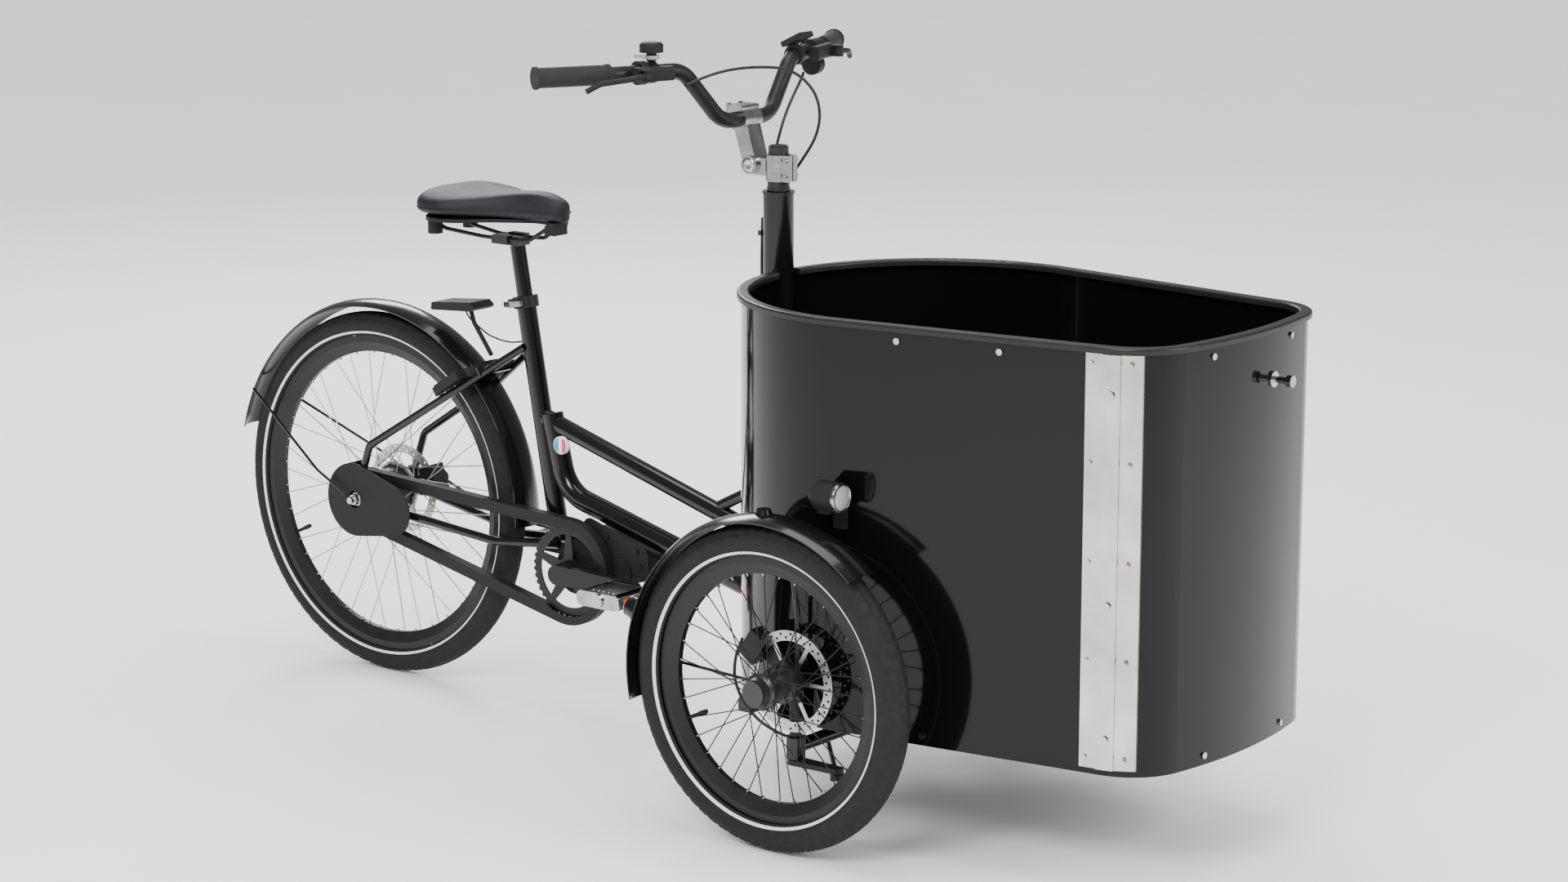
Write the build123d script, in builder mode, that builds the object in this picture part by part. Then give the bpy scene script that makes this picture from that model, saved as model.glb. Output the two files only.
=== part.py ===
from build123d import *
from math import cos, pi, radians, sin, sqrt, tan
import os

# Cargo tricycle with two steered front wheels and a box between them.
# Millimetres. +X forward, +Y to the rider's left, +Z up, z = 0 on the ground.
# The origin is under the middle of the whole vehicle.

# ---- driving dimensions ----
REAR_X = -741.42                # rear axle, from the middle of the vehicle
REAR_R = 327.5                  # outer radius of the 47-559 rear tyre
FRONT_R = 256.0                 # outer radius of the 54-406 front tyres
FRONT_X = REAR_X + 1182.0       # front axle line
TRACK_Y = 384.0                 # front wheel plane, each side
COLUMN_X = REAR_X + 895.0       # upright steering column
COLUMN_TOP = 950.0
BB = (REAR_X + 480.0, 264.5)    # crank axle, X and Z
SEAT_TOP = (REAR_X + 343.0, 716.0)
SEAT_FOOT = (REAR_X + 417.0, 302.0)
BOX_REAR_X = REAR_X + 897.0
BOX_FRONT_X = REAR_X + 1795.0
BOX_BOTTOM = 182.0
BOX_TOP = 822.0
BOX_REAR_RADIUS = 314.8         # round rear half of the plan
BOX_TAPER = 7.7                 # degrees, each side draws in towards the front
BOX_CORNER_RADIUS = 105.0
BOX_FRONT_BOW = 37.0            # how far the front bulges between its corners
PANEL_INSET = 6.0               # panel's outer face inside the rim's outer edge
PANEL_THICK = 4.0
RIM_WIDTH = 20.0
RIM_HEIGHT = 10.0
KINGPIN_Y = 323.0               # steering axis of each front wheel
KINGPIN_R = 8.0
ARM = 80.0                      # steering arms and pitman arm, centre to pin
CHAIN_Y = -50.0
SPROCKET_R = 40.0
CHAINRING_R = 80.0
CRANK = 170.0
RUN_FIT = 0.05                  # radial running clearance of every shaft
OPEN_FIT = 0.5                  # radial clearance of the open linkage pivots
SIDES = {"right": -1, "left": 1}

os.makedirs("parts", exist_ok=True)
rear_centre = Vector(REAR_X, 0, REAR_R)


def save(part, label):
    part.label = label
    export_step(part, f"parts/{label}.step")


def side_plane(y):
    """Sketch plane seen from the right: local x is X, local y is Z, at this Y."""
    return Plane.XZ.offset(-y)


def wheel_plane(centre):
    """Half-section plane of a wheel: local x is the radius, local y runs along the axle."""
    return Plane(origin=centre, x_dir=(1, 0, 0), z_dir=(0, 0, 1))


def axle_axis(centre):
    return Axis(centre, (0, 1, 0))


def bend_radii(points):
    """Largest easy radius at each inner corner: 0.45 of the shorter run over tan(turn / 2)."""
    vectors = [Vector(*p) for p in points]
    radii = []
    for before, here, after in zip(vectors, vectors[1:], vectors[2:]):
        turn = radians((here - before).get_angle(after - here))
        shorter = min((here - before).length, (after - here).length)
        radii.append(0.45 * shorter / tan(turn / 2))
    return radii


def bent_tube(points, outer, inner=0.0, radii=None):
    with BuildPart() as tube:
        with BuildLine() as path:
            if len(points) == 2:
                Line(*points)
            else:
                FilletPolyline(*points, radius=radii or bend_radii(points))
        with BuildSketch(Plane(origin=path.line @ 0, z_dir=path.line % 0)):
            Circle(outer / 2)
            if inner:
                Circle(inner / 2, mode=Mode.SUBTRACT)
        sweep(path=path.line)
    return tube.part


def cord(points, diameter, label):
    part = bent_tube(points, diameter)
    with BuildLine() as route:
        FilletPolyline(*points, radius=bend_radii(points))
    length = sum(edge.length for edge in route.edges())
    ratio = part.volume / (pi * diameter ** 2 / 4 * length)
    print(f"{label}: length {length:.0f}, volume ratio {ratio:.4f},",
          "radii", [round(r) for r in bend_radii(points)])
    return part


def seat_tube_x(z):
    slope = (SEAT_TOP[0] - SEAT_FOOT[0]) / (SEAT_TOP[1] - SEAT_FOOT[1])
    return SEAT_FOOT[0] + slope * (z - SEAT_FOOT[1])


# ---- frame: seat tube, main tubes, rear stays, column, underframe ----
SEAT_TUBE_OD = 34.0
POST_D = 27.2
seat_axis = Vector(SEAT_TOP[0] - SEAT_FOOT[0], 0, SEAT_TOP[1] - SEAT_FOOT[1]).normalized()
seat_foot = Vector(SEAT_FOOT[0], 0, SEAT_FOOT[1])
seat_top = Vector(SEAT_TOP[0], 0, SEAT_TOP[1])
seat_plane = Plane(origin=seat_top, x_dir=(0, 1, 0), z_dir=seat_axis)

with BuildPart() as seat_tube:
    with BuildSketch(Plane(origin=seat_foot, x_dir=(0, 1, 0), z_dir=seat_axis)):
        Circle(SEAT_TUBE_OD / 2)
        Circle(POST_D / 2 + RUN_FIT, mode=Mode.SUBTRACT)
    extrude(amount=(seat_top - seat_foot).length)
save(seat_tube.part, "seat_tube")
with BuildPart() as seat_blank:
    with BuildSketch(Plane(origin=seat_foot, x_dir=(0, 1, 0), z_dir=seat_axis)):
        Circle(SEAT_TUBE_OD / 2)
    extrude(amount=(seat_top - seat_foot).length)

COLUMN_OD = 50.0
STEERER_D = 30.0
COLUMN_FOOT = 168.0
with BuildPart() as steering_column:
    with BuildSketch(Plane.XY.offset(COLUMN_FOOT)):
        with Locations((COLUMN_X, 0)):
            Circle(COLUMN_OD / 2)
            Circle(COLUMN_OD / 2 - 3, mode=Mode.SUBTRACT)
    extrude(amount=COLUMN_TOP - COLUMN_FOOT)
    # bearing seats at both ends, and the raised lip at the top
    for level in (COLUMN_FOOT, COLUMN_TOP - 14):
        with BuildSketch(Plane.XY.offset(level)):
            with Locations((COLUMN_X, 0)):
                Circle(COLUMN_OD / 2 - 2)
                Circle(STEERER_D / 2 + RUN_FIT, mode=Mode.SUBTRACT)
        extrude(amount=14)
    with BuildSketch(Plane.XY.offset(COLUMN_TOP - 4)):
        with Locations((COLUMN_X, 0)):
            Circle(COLUMN_OD / 2 + 1.5)
            Circle(COLUMN_OD / 2 - 1, mode=Mode.SUBTRACT)
    extrude(amount=4)
save(steering_column.part, "steering_column")

UPPER_TUBE_D = 31.0
LOWER_TUBE_D = 38.0
upper_start = (seat_tube_x(515), 0, 515)
upper_end = (COLUMN_X, 0, 362)
lower_points = [(REAR_X + 401, 0, 522), (REAR_X + 434, 0, 388), (COLUMN_X, 0, 267)]
with BuildPart() as main_tubes:
    add(bent_tube([upper_start, upper_end], UPPER_TUBE_D, UPPER_TUBE_D - 4))
    add(seat_blank.part, mode=Mode.SUBTRACT)
    add(steering_column.part, mode=Mode.SUBTRACT)
upper_tube = main_tubes.part.solids().sort_by(SortBy.VOLUME)[-1]
with BuildPart() as lower_main:
    add(bent_tube(lower_points, LOWER_TUBE_D, LOWER_TUBE_D - 4, radii=70))
    add(seat_blank.part, mode=Mode.SUBTRACT)
    add(upper_tube, mode=Mode.SUBTRACT)
    add(steering_column.part, mode=Mode.SUBTRACT)
lower_tube = lower_main.part.solids().sort_by(SortBy.VOLUME)[-1]
with BuildPart() as gusset_plate:
    with BuildSketch(side_plane(0)):
        with BuildLine():
            Polyline((seat_tube_x(478), 478), (REAR_X + 424, 420), (REAR_X + 480, 372),
                     (REAR_X + 452, 332), (seat_tube_x(318), 318), close=True)
        make_face()
    extrude(amount=2.5, both=True)
    for neighbour in (seat_blank.part, lower_tube):
        add(neighbour, mode=Mode.SUBTRACT)
    # keep the web between the tubes, not the slivers inside them
gusset = gusset_plate.part.solids().sort_by(SortBy.VOLUME)[-1]
with BuildPart() as column_strut:
    add(bent_tube([(COLUMN_X - 122, 0, 412), (COLUMN_X - 10, 0, 470)], 20, 16))
    for neighbour in (steering_column.part, upper_tube):
        add(neighbour, mode=Mode.SUBTRACT)
strut = column_strut.part.solids().sort_by(SortBy.VOLUME)[-1]
with BuildPart() as main_frame:
    for member in (upper_tube, lower_tube, gusset, strut):
        add(member)
save(main_frame.part, "main_tubes")

STAY_Y = 70.0
AXLE_R = 6.0
with BuildPart() as rear_stays:
    for sign in SIDES.values():
        # seat stay: flattened tube from the seat tube, a sharp bend, then down to the dropout
        add(bent_tube([(seat_tube_x(636) - 4, sign * 16, 634), (REAR_X + 221, sign * 56, 545),
                       (REAR_X + 30, sign * STAY_Y, 428), (REAR_X + 1, sign * STAY_Y, 348)],
                      14, 11, radii=[90, 24]))
        # chain stay: dropout to the seat tube's foot, inside the chain line at its front
        add(bent_tube([(REAR_X + 20, sign * STAY_Y, 323), (REAR_X + 300, sign * 37, 288),
                       (REAR_X + 432, sign * 22, 300)], 16, 12, radii=90))
    add(seat_blank.part, mode=Mode.SUBTRACT)
    add(main_frame.part, mode=Mode.SUBTRACT)
    for sign in SIDES.values():
        with BuildSketch(side_plane(sign * STAY_Y)):
            with Locations((REAR_X, REAR_R)):
                Circle(19)
            with Locations((REAR_X + 2, REAR_R + 22)):
                Rectangle(24, 26)
            with Locations((REAR_X + 20, REAR_R - 4)):
                Rectangle(28, 24)
            with Locations((REAR_X, REAR_R)):
                Circle(AXLE_R + RUN_FIT, mode=Mode.SUBTRACT)
        extrude(amount=3, both=True)
    # bridge plate that carries the ring lock and the mudguard
    with BuildSketch(Plane(origin=(REAR_X + 274, 0, 586), x_dir=(0, 1, 0), z_dir=(0.84, 0, 0.54))):
        Rectangle(98, 16)
    extrude(amount=2.5, both=True)
save(rear_stays.part, "rear_stays")

RAIL_Y = 36.5
RAIL_D = 22.0
BEAM_Z = 149.0
RAIL_Z = BOX_BOTTOM - 0.5 - RAIL_D / 2
HEAD_LOW = 132.0
HEAD_HIGH = 166.0
with BuildPart() as underframe:
    for sign in SIDES.values():
        add(bent_tube([(COLUMN_X - 20, sign * RAIL_Y, RAIL_Z), (BOX_FRONT_X - 150, sign * RAIL_Y, RAIL_Z)],
                      RAIL_D, RAIL_D - 4))
    for reach, station in ((200, FRONT_X - 200), (100, BOX_FRONT_X - 175)):
        with Locations((station, 0, BEAM_Z + 1)):
            Box(25, 2 * reach, RAIL_D - 2)
    add(bent_tube([(FRONT_X, -KINGPIN_Y, BEAM_Z), (FRONT_X, KINGPIN_Y, BEAM_Z)], RAIL_D, RAIL_D - 4))
    with Locations(*[(FRONT_X, sign * KINGPIN_Y, HEAD_LOW) for sign in SIDES.values()]):
        Cylinder(15, HEAD_HIGH - HEAD_LOW, align=(Align.CENTER, Align.CENTER, Align.MIN))
        Hole(KINGPIN_R + RUN_FIT)
    # two webs tie the rails to the column's foot
    with Locations((COLUMN_X, 0, RAIL_Z)):
        Box(40, 2 * RAIL_Y, 8)
    add(steering_column.part, mode=Mode.SUBTRACT)
    with Locations((COLUMN_X, 0, RAIL_Z)):
        Cylinder(COLUMN_OD / 2, 60, mode=Mode.SUBTRACT)
save(underframe.part, "underframe")


# ---- drive unit ----
with BuildPart() as housing:
    with BuildSketch(side_plane(0)):
        with Locations(BB):
            Circle(43)
        with Locations((BB[0] + 30, BB[1] + 52)):
            Circle(22)
        with Locations((BB[0] + 150, BB[1] + 24)):
            Circle(22)
        make_hull()
    extrude(amount=35, both=True)
    with BuildSketch(side_plane(0)):
        with Locations(BB):
            Circle(30)
    extrude(amount=37.5, both=True)
    with BuildSketch(side_plane(0)):
        with Locations(BB):
            Circle(10 + RUN_FIT)
    extrude(amount=40, both=True, mode=Mode.SUBTRACT)
    add(seat_blank.part, mode=Mode.SUBTRACT)
    add(main_frame.part, mode=Mode.SUBTRACT)
    add(rear_stays.part, mode=Mode.SUBTRACT)
housing_body = housing.part.solids().sort_by(SortBy.VOLUME)[-1]
PLATE_BOLTS = [(BB[0] + 36, BB[1] + 82), (BB[0] + 139, BB[1] + 52), (BB[0] + 148, BB[1] + 28), (BB[0] + 74, BB[1] + 70)]
with BuildPart() as drive_unit:
    add(housing_body)
    for sign in SIDES.values():
        with BuildSketch(side_plane(sign * 36.2)):
            for place, radius in (((BB[0] + 36, BB[1] + 82), 14), ((BB[0] + 150, BB[1] + 48), 14),
                                  ((BB[0] + 156, BB[1] + 22), 12), ((BB[0] + 62, BB[1] + 30), 12)):
                with Locations(place):
                    Circle(radius)
            make_hull()
        extrude(amount=1.5, both=True)
        with BuildSketch(side_plane(sign * 37.7)):
            with Locations(*PLATE_BOLTS):
                RegularPolygon(6, 6)
        extrude(amount=-3 * sign)
        with BuildSketch(side_plane(sign * 35)):
            with Locations((BB[0] + 104, BB[1] + 14)):
                Circle(24)
        extrude(amount=-5 * sign)
save(drive_unit.part, "drive_unit")


# ---- cargo box ----
def box_outline(inset):
    """Plan of the box, drawn in by inset: round rear, tapering sides, bowed front."""
    centre = BOX_REAR_X + BOX_REAR_RADIUS
    taper = radians(BOX_TAPER)
    side_x = centre + BOX_REAR_RADIUS * sin(taper)
    side_y = BOX_REAR_RADIUS * cos(taper)
    corner_x = BOX_FRONT_X - BOX_FRONT_BOW
    corner_y = side_y - (corner_x - side_x) * tan(taper)
    with BuildSketch() as plan:
        with BuildLine():
            ThreePointArc((side_x, -side_y), (BOX_REAR_X, 0), (side_x, side_y))
            Line((side_x, side_y), (corner_x, corner_y))
            ThreePointArc((corner_x, corner_y), (BOX_FRONT_X, 0), (corner_x, -corner_y))
            Line((corner_x, -corner_y), (side_x, -side_y))
        make_face()
        fillet(plan.vertices().group_by(Axis.X)[-1], BOX_CORNER_RADIUS)
        if inset:
            offset(amount=-inset, mode=Mode.REPLACE)
    return plan.sketch


def outline_point(x, inset):
    """Half width of the plan at this X, on the straight side or the round rear."""
    centre = BOX_REAR_X + BOX_REAR_RADIUS
    taper = radians(BOX_TAPER)
    radius = BOX_REAR_RADIUS - inset
    if x < centre + radius * sin(taper):
        return sqrt(radius ** 2 - (x - centre) ** 2)
    return radius / cos(taper) - (x - centre) * tan(taper)


def box_band(outer, inner, low, high):
    with BuildPart() as band:
        with BuildSketch(Plane.XY.offset(low)):
            add(box_outline(outer))
            add(box_outline(inner), mode=Mode.SUBTRACT)
        extrude(amount=high - low)
    return band.part


COLUMN_GAP = 27.0
STRIP_X = (REAR_X + 1656.0, REAR_X + 1738.0)
STRIP_LOW = 192.0
panel_inner = PANEL_INSET + PANEL_THICK
with BuildPart() as box_panel:
    add(box_band(PANEL_INSET, panel_inner, BOX_BOTTOM, BOX_TOP - RIM_HEIGHT))
    with Locations((BOX_REAR_X, 0, BOX_TOP / 2)):
        Box(90, 2 * COLUMN_GAP, BOX_TOP * 1.2, mode=Mode.SUBTRACT)
    # the sheet is in two pieces that meet under the joint strips
    with Locations((sum(STRIP_X) / 2, 0, BOX_TOP / 2)):
        Box(0.6, 900, BOX_TOP * 1.2, mode=Mode.SUBTRACT)
save(box_panel.part, "box_panel")

with BuildPart() as box_rim:
    add(box_band(0, RIM_WIDTH, BOX_TOP - RIM_HEIGHT, BOX_TOP))
    with Locations((BOX_REAR_X, 0, BOX_TOP)):
        Box(90, 2 * COLUMN_GAP, 60, mode=Mode.SUBTRACT)
    fillet(box_rim.edges().group_by(Axis.Z)[-1].filter_by(lambda e: e.length > 300), 4)
save(box_rim.part, "box_rim")

FLOOR_THICK = 12.0
with BuildPart() as box_floor:
    with BuildSketch(Plane.XY.offset(BOX_BOTTOM)):
        add(box_outline(panel_inner + 0.3))
        with Locations((COLUMN_X, 0)):
            Circle(COLUMN_OD / 2 + 2, mode=Mode.SUBTRACT)
        with Locations((COLUMN_X - 40, 0)):
            Rectangle(80, COLUMN_OD + 4, mode=Mode.SUBTRACT)
    extrude(amount=FLOOR_THICK)
save(box_floor.part, "box_floor")

# joint strips, rivets, panel screws and the front stud
strip_third = (STRIP_X[1] - STRIP_X[0]) / 3


def strip_facet(outer, low_x, high_x):
    with BuildPart() as facet:
        add(box_band(outer, PANEL_INSET, STRIP_LOW, BOX_TOP - RIM_HEIGHT - 1))
        with Locations(((low_x + high_x) / 2, 0, BOX_TOP / 2)):
            Box(high_x - low_x, 900, BOX_TOP, mode=Mode.INTERSECT)
    return facet.part


def side_plane_at(x, sign, z):
    """Plane on the panel's outer face at this X and height, facing outwards."""
    taper = radians(BOX_TAPER)
    y = outline_point(x, PANEL_INSET)
    return Plane(origin=(x, sign * y, z), z_dir=(sin(taper), sign * cos(taper), 0))


def domed_heads(planes, radius, lift, height):
    """Round heads of fixings, each standing lift clear of its plane."""
    with BuildPart() as heads:
        for plane in planes:
            with BuildSketch(plane.offset(lift)):
                Circle(radius)
            extrude(amount=height)
    return heads.part


STUD_Y = 50.0
STUD_Z = 741.0
strip_low_z = STRIP_LOW + 15
strip_span = BOX_TOP - RIM_HEIGHT - 15 - strip_low_z
rivet_planes = [side_plane_at(x, sign, strip_low_z + strip_span * i / 4)
                for x in (STRIP_X[0] + 8, STRIP_X[1] - 10) for sign in SIDES.values() for i in range(5)]
centre_planes = [side_plane_at(sum(STRIP_X) / 2, sign, z) for z in (238, 440, 752) for sign in SIDES.values()]
screw_planes = [side_plane_at(REAR_X + x, sign, z) for sign in SIDES.values()
                for x, z in ((1348, 798), (1517, 798), (1395, 197))]
front_planes = [Plane(origin=(BOX_FRONT_X - PANEL_INSET - y ** 2 / 1600, y, z), z_dir=(1, y / 800, 0))
                for y in (-110, 110) for z in (197, 798)]
with BuildPart() as box_fittings:
    for side in (-1, 1):
        with BuildPart(mode=Mode.PRIVATE) as strip:
            add(strip_facet(PANEL_INSET - 2.5, *STRIP_X))
            add(strip_facet(PANEL_INSET - 5.5, STRIP_X[0] + strip_third, STRIP_X[1] - strip_third))
            with Locations((sum(STRIP_X) / 2, -side * 450, BOX_TOP / 2)):
                Box(400, 900, BOX_TOP, mode=Mode.SUBTRACT)
        add(strip.part)
    add(domed_heads(rivet_planes, 4, 2.5, 2.2))
    add(domed_heads(centre_planes, 6, 5.5, 3))
    add(domed_heads(screw_planes + front_planes, 5, 0, 3))
    stud_plane = Plane(origin=(BOX_FRONT_X - PANEL_INSET - STUD_Y ** 2 / 1600, STUD_Y, STUD_Z), z_dir=(1, 0, 0))
    for reach, radius in ((4, 12), (22, 5), (9, 9)):
        with BuildSketch(stud_plane):
            Circle(radius)
        extrude(amount=reach)
        stud_plane = stud_plane.offset(reach)
    add(box_panel.part, mode=Mode.SUBTRACT)
save(box_fittings.part, "box_fittings")


# ---- wheels ----
def tyre(centre, radius, width, rim_radius):
    with BuildPart() as ring:
        with BuildSketch(wheel_plane(centre)):
            with Locations((radius - width / 2, 0)):
                Circle(width / 2)
                Circle(width / 2 - 3.5, mode=Mode.SUBTRACT)
            with Locations((rim_radius + 0.2, 0)):
                Rectangle(width, 2 * width, align=(Align.MAX, Align.CENTER), mode=Mode.SUBTRACT)
        revolve(axis=axle_axis(centre))
    return ring.part


def rim(centre, radius, width):
    """Deep rim: two flanges, a bed between them and a closed V behind it."""
    half = width / 2
    with BuildPart() as ring:
        with BuildSketch(wheel_plane(centre)):
            with BuildLine():
                Polyline((radius, half), (radius - 12, half), (radius - 30, 5), (radius - 30, -5),
                         (radius - 12, -half), (radius, -half), (radius, -half + 2.2),
                         (radius - 7, -half + 2.2), (radius - 9, 0), (radius - 7, half - 2.2),
                         (radius, half - 2.2), close=True)
            make_face()
        revolve(axis=axle_axis(centre))
    return ring.part


def spokes(centre, rim_radius, flange_radius, flange_half, count=36, cross=52.0, start=0.0):
    """Laced spokes: leading ones outside each flange and trailing ones inside it."""
    places = []
    for i in range(count):
        side = 1 if i % 2 else -1
        lean = 1 if (i // 2) % 2 else -1
        at_rim = radians(start + 360 / count * i)
        at_hub = at_rim - lean * radians(cross)
        foot = Vector(flange_radius * cos(at_hub), side * (flange_half + 5 * lean), flange_radius * sin(at_hub))
        head = Vector((rim_radius - 31) * cos(at_rim), side * 2.5, (rim_radius - 31) * sin(at_rim))
        places.append((Plane(origin=Vector(*centre) + foot, z_dir=head - foot), (head - foot).length))
    with BuildPart() as lacing:
        with Locations(*[plane.location for plane, length in places]):
            Cylinder(1.0, places[0][1], align=(Align.CENTER, Align.CENTER, Align.MIN))
    return lacing.part


def brake_disc(centre, y, outer, inner):
    with BuildPart() as disc:
        with BuildSketch(Plane(origin=(centre[0], y, centre[2]), x_dir=(1, 0, 0), z_dir=(0, -1, 0))):
            Circle(outer)
            Circle(outer - 16, mode=Mode.SUBTRACT)
            with PolarLocations(outer - 5, 24):
                Circle(2.2, mode=Mode.SUBTRACT)
            with PolarLocations(outer - 11, 24, start_angle=7.5):
                Circle(2.2, mode=Mode.SUBTRACT)
            with PolarLocations((outer + inner) / 2 - 6, 6):
                Rectangle(outer - inner - 10, 7)
            Circle(inner + 4)
            Circle(inner - 6, mode=Mode.SUBTRACT)
        extrude(amount=1, both=True)
    return disc.part


def hub_shell(centre, profile, bore):
    """Turned hub: profile lists (y from the wheel plane, radius)."""
    ys = [y for y, radius in profile]
    with BuildPart() as shell:
        with BuildSketch(wheel_plane(centre)):
            with BuildLine():
                Polyline((bore, ys[0]), *[(radius, y) for y, radius in profile], (bore, ys[-1]), close=True)
            make_face()
        revolve(axis=axle_axis(centre))
    return shell.part


REAR_RIM_R = 285.5
save(tyre(rear_centre, REAR_R, 47, REAR_RIM_R), "rear_tyre")
save(rim(rear_centre, REAR_RIM_R, 27), "rear_rim")
save(spokes(tuple(rear_centre), REAR_RIM_R, 45, 26, start=8.3), "rear_spokes")
rear_hub_profile = [(-33, 20), (-33, 38), (-29, 50), (-23, 50), (-21, 42), (0, 41), (21, 42), (23, 50),
                    (29, 50), (32, 34), (38, 24), (44, 24), (44, 15)]
with BuildPart() as rear_hub:
    add(hub_shell(rear_centre, rear_hub_profile, AXLE_R + RUN_FIT))
    add(brake_disc(tuple(rear_centre), 45, 80, 21))
save(rear_hub.part, "rear_hub")

with BuildPart() as rear_axle:
    with BuildSketch(side_plane(0)):
        with Locations((REAR_X, REAR_R)):
            Circle(AXLE_R)
    extrude(amount=94, both=True)
    for sign in SIDES.values():
        for y, reach, size in ((STAY_Y + 3.1, 3, 12), (STAY_Y + 6.1, 9, 10)):
            with BuildSketch(side_plane(sign * y)):
                with Locations((REAR_X, REAR_R)):
                    RegularPolygon(size, 6) if reach == 9 else Circle(size)
            extrude(amount=-sign * reach)
        with BuildSketch(side_plane(sign * (STAY_Y - 3.1))):
            with Locations((REAR_X, REAR_R)):
                Circle(9)
        extrude(amount=sign * 10)
save(rear_axle.part, "rear_axle")

FRONT_RIM_R = 209.0
STUB_R = 7.5
front_hub_profile = [(-47, 14), (-47, 24), (-40, 24), (-30, 24), (-28, 30), (-22, 30), (-20, 22), (0, 20), (20, 22),
                     (22, 29), (28, 29), (32, 24), (42, 22), (42, 10)]
for side, sign in SIDES.items():
    centre = Vector(FRONT_X, sign * TRACK_Y, FRONT_R)
    save(tyre(centre, FRONT_R, 54, FRONT_RIM_R), f"{side}_tyre")
    save(rim(centre, FRONT_RIM_R, 27), f"{side}_rim")
    save(spokes(tuple(centre), FRONT_RIM_R, 26, 25, start=5), f"{side}_spokes")
    inboard = [(y if sign > 0 else -y, radius) for y, radius in front_hub_profile]
    with BuildPart() as front_hub:
        add(hub_shell(centre, inboard, STUB_R + RUN_FIT))
        add(brake_disc(tuple(centre), sign * (TRACK_Y - 49), 80, 21))
        # dust cap over the outboard end
        with BuildSketch(side_plane(centre.Y + sign * 43)):
            with Locations((FRONT_X, FRONT_R)):
                Circle(20)
        extrude(amount=-sign * 3)
    save(front_hub.part, f"{side}_hub")


# ---- front uprights, tie rods and mudguards ----
def pin_ring(x, y, z, outer, inner, height):
    with BuildPart() as ring:
        with BuildSketch(Plane.XY.offset(z - height / 2)):
            with Locations((x, y)):
                Circle(outer)
                if inner:
                    Circle(inner, mode=Mode.SUBTRACT)
        extrude(amount=height)
    return ring.part


ARM_Z = 126.0
PIN_R = 5.0
ROD_Z = {"right": 116.0, "left": 104.5}
UPRIGHT_INNER = 314.0
for side, sign in SIDES.items():
    y = sign * KINGPIN_Y
    with BuildPart() as upright:
        add(pin_ring(FRONT_X, y, (ARM_Z + FRONT_R) / 2, KINGPIN_R, 0, FRONT_R - ARM_Z))
        with Locations((FRONT_X, y, HEAD_HIGH + 1)):
            Cylinder(9.5, FRONT_R - HEAD_HIGH - 1, align=(Align.CENTER, Align.CENTER, Align.MIN))
        with BuildSketch(side_plane(sign * UPRIGHT_INNER)):
            with Locations((FRONT_X, FRONT_R)):
                Circle(13)
        extrude(amount=-sign * 17)
        with BuildSketch(side_plane(sign * (UPRIGHT_INNER + 17))):
            with Locations((FRONT_X, FRONT_R)):
                Circle(STUB_R)
        extrude(amount=-sign * (TRACK_Y + 41 - UPRIGHT_INNER - 17))
        # steering arm and its pin
        with BuildSketch(Plane.XY.offset(ARM_Z - 4)):
            with Locations((FRONT_X, y)):
                Circle(13)
            with Locations((FRONT_X + ARM, y)):
                Circle(10)
            make_hull()
        extrude(amount=8)
        add(pin_ring(FRONT_X + ARM, y, ARM_Z - 16, PIN_R, 0, 28))
        # lug that carries the caliper, inboard of the disc
        with BuildSketch(side_plane(sign * (UPRIGHT_INNER + 5))):
            with Locations((FRONT_X, FRONT_R)):
                Circle(12)
            with Locations((FRONT_X - 62, FRONT_R + 42)):
                Circle(14)
            make_hull()
        extrude(amount=-sign * 7)
        # caliper bridging the disc, with a slot for it
        with Locations(Plane(origin=(FRONT_X - 66, sign * (TRACK_Y - 49), FRONT_R + 46), x_dir=(0.57, 0, 0.82),
                             z_dir=(0, 1, 0)).location):
            Box(46, 34, 30)
            with Locations((0, 10, 0)):
                Box(60, 40, 5, mode=Mode.SUBTRACT)
    save(upright.part, f"{side}_upright")

PITMAN = (COLUMN_X + ARM, 0.0)
for side, sign in SIDES.items():
    z = ROD_Z[side]
    start = Vector(PITMAN[0], PITMAN[1], z)
    end = Vector(FRONT_X + ARM, sign * KINGPIN_Y, z)
    run = (end - start).normalized()
    with BuildPart() as tie_rod:
        add(bent_tube([tuple(start + run * 8), tuple(end - run * 9)], 8))
        add(pin_ring(start.X, start.Y, z, 10, 0, 10))
        add(pin_ring(end.X, end.Y, z, 11, 0, 10))
        for where, hole in ((start, PIN_R + RUN_FIT), (end, PIN_R + OPEN_FIT)):
            with Locations((where.X, where.Y, z)):
                Cylinder(hole, 40, mode=Mode.SUBTRACT)
    save(tie_rod.part, f"{side}_tie_rod")


def mudguard(centre, radius, width, start, sweep_angle, drop):
    """Crowned shell: an arc section turned about the axle between two angles."""
    plane = Plane(origin=centre, x_dir=(cos(radians(start)), 0, sin(radians(start))), z_dir=(-sin(radians(start)), 0,
                  cos(radians(start))))
    with BuildPart() as guard:
        with BuildSketch(plane):
            with BuildLine():
                ThreePointArc((radius - drop, -width / 2), (radius, 0), (radius - drop, width / 2))
                Line((radius - drop, width / 2), (radius - drop - 2, width / 2 - 1))
                ThreePointArc((radius - drop - 2, width / 2 - 1), (radius - 2, 0), (radius - drop - 2, -width / 2 + 1))
                Line((radius - drop - 2, -width / 2 + 1), (radius - drop, -width / 2))
            make_face()
        revolve(axis=Axis(centre, (0, -1, 0)), revolution_arc=sweep_angle)
    return guard.part


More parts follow.
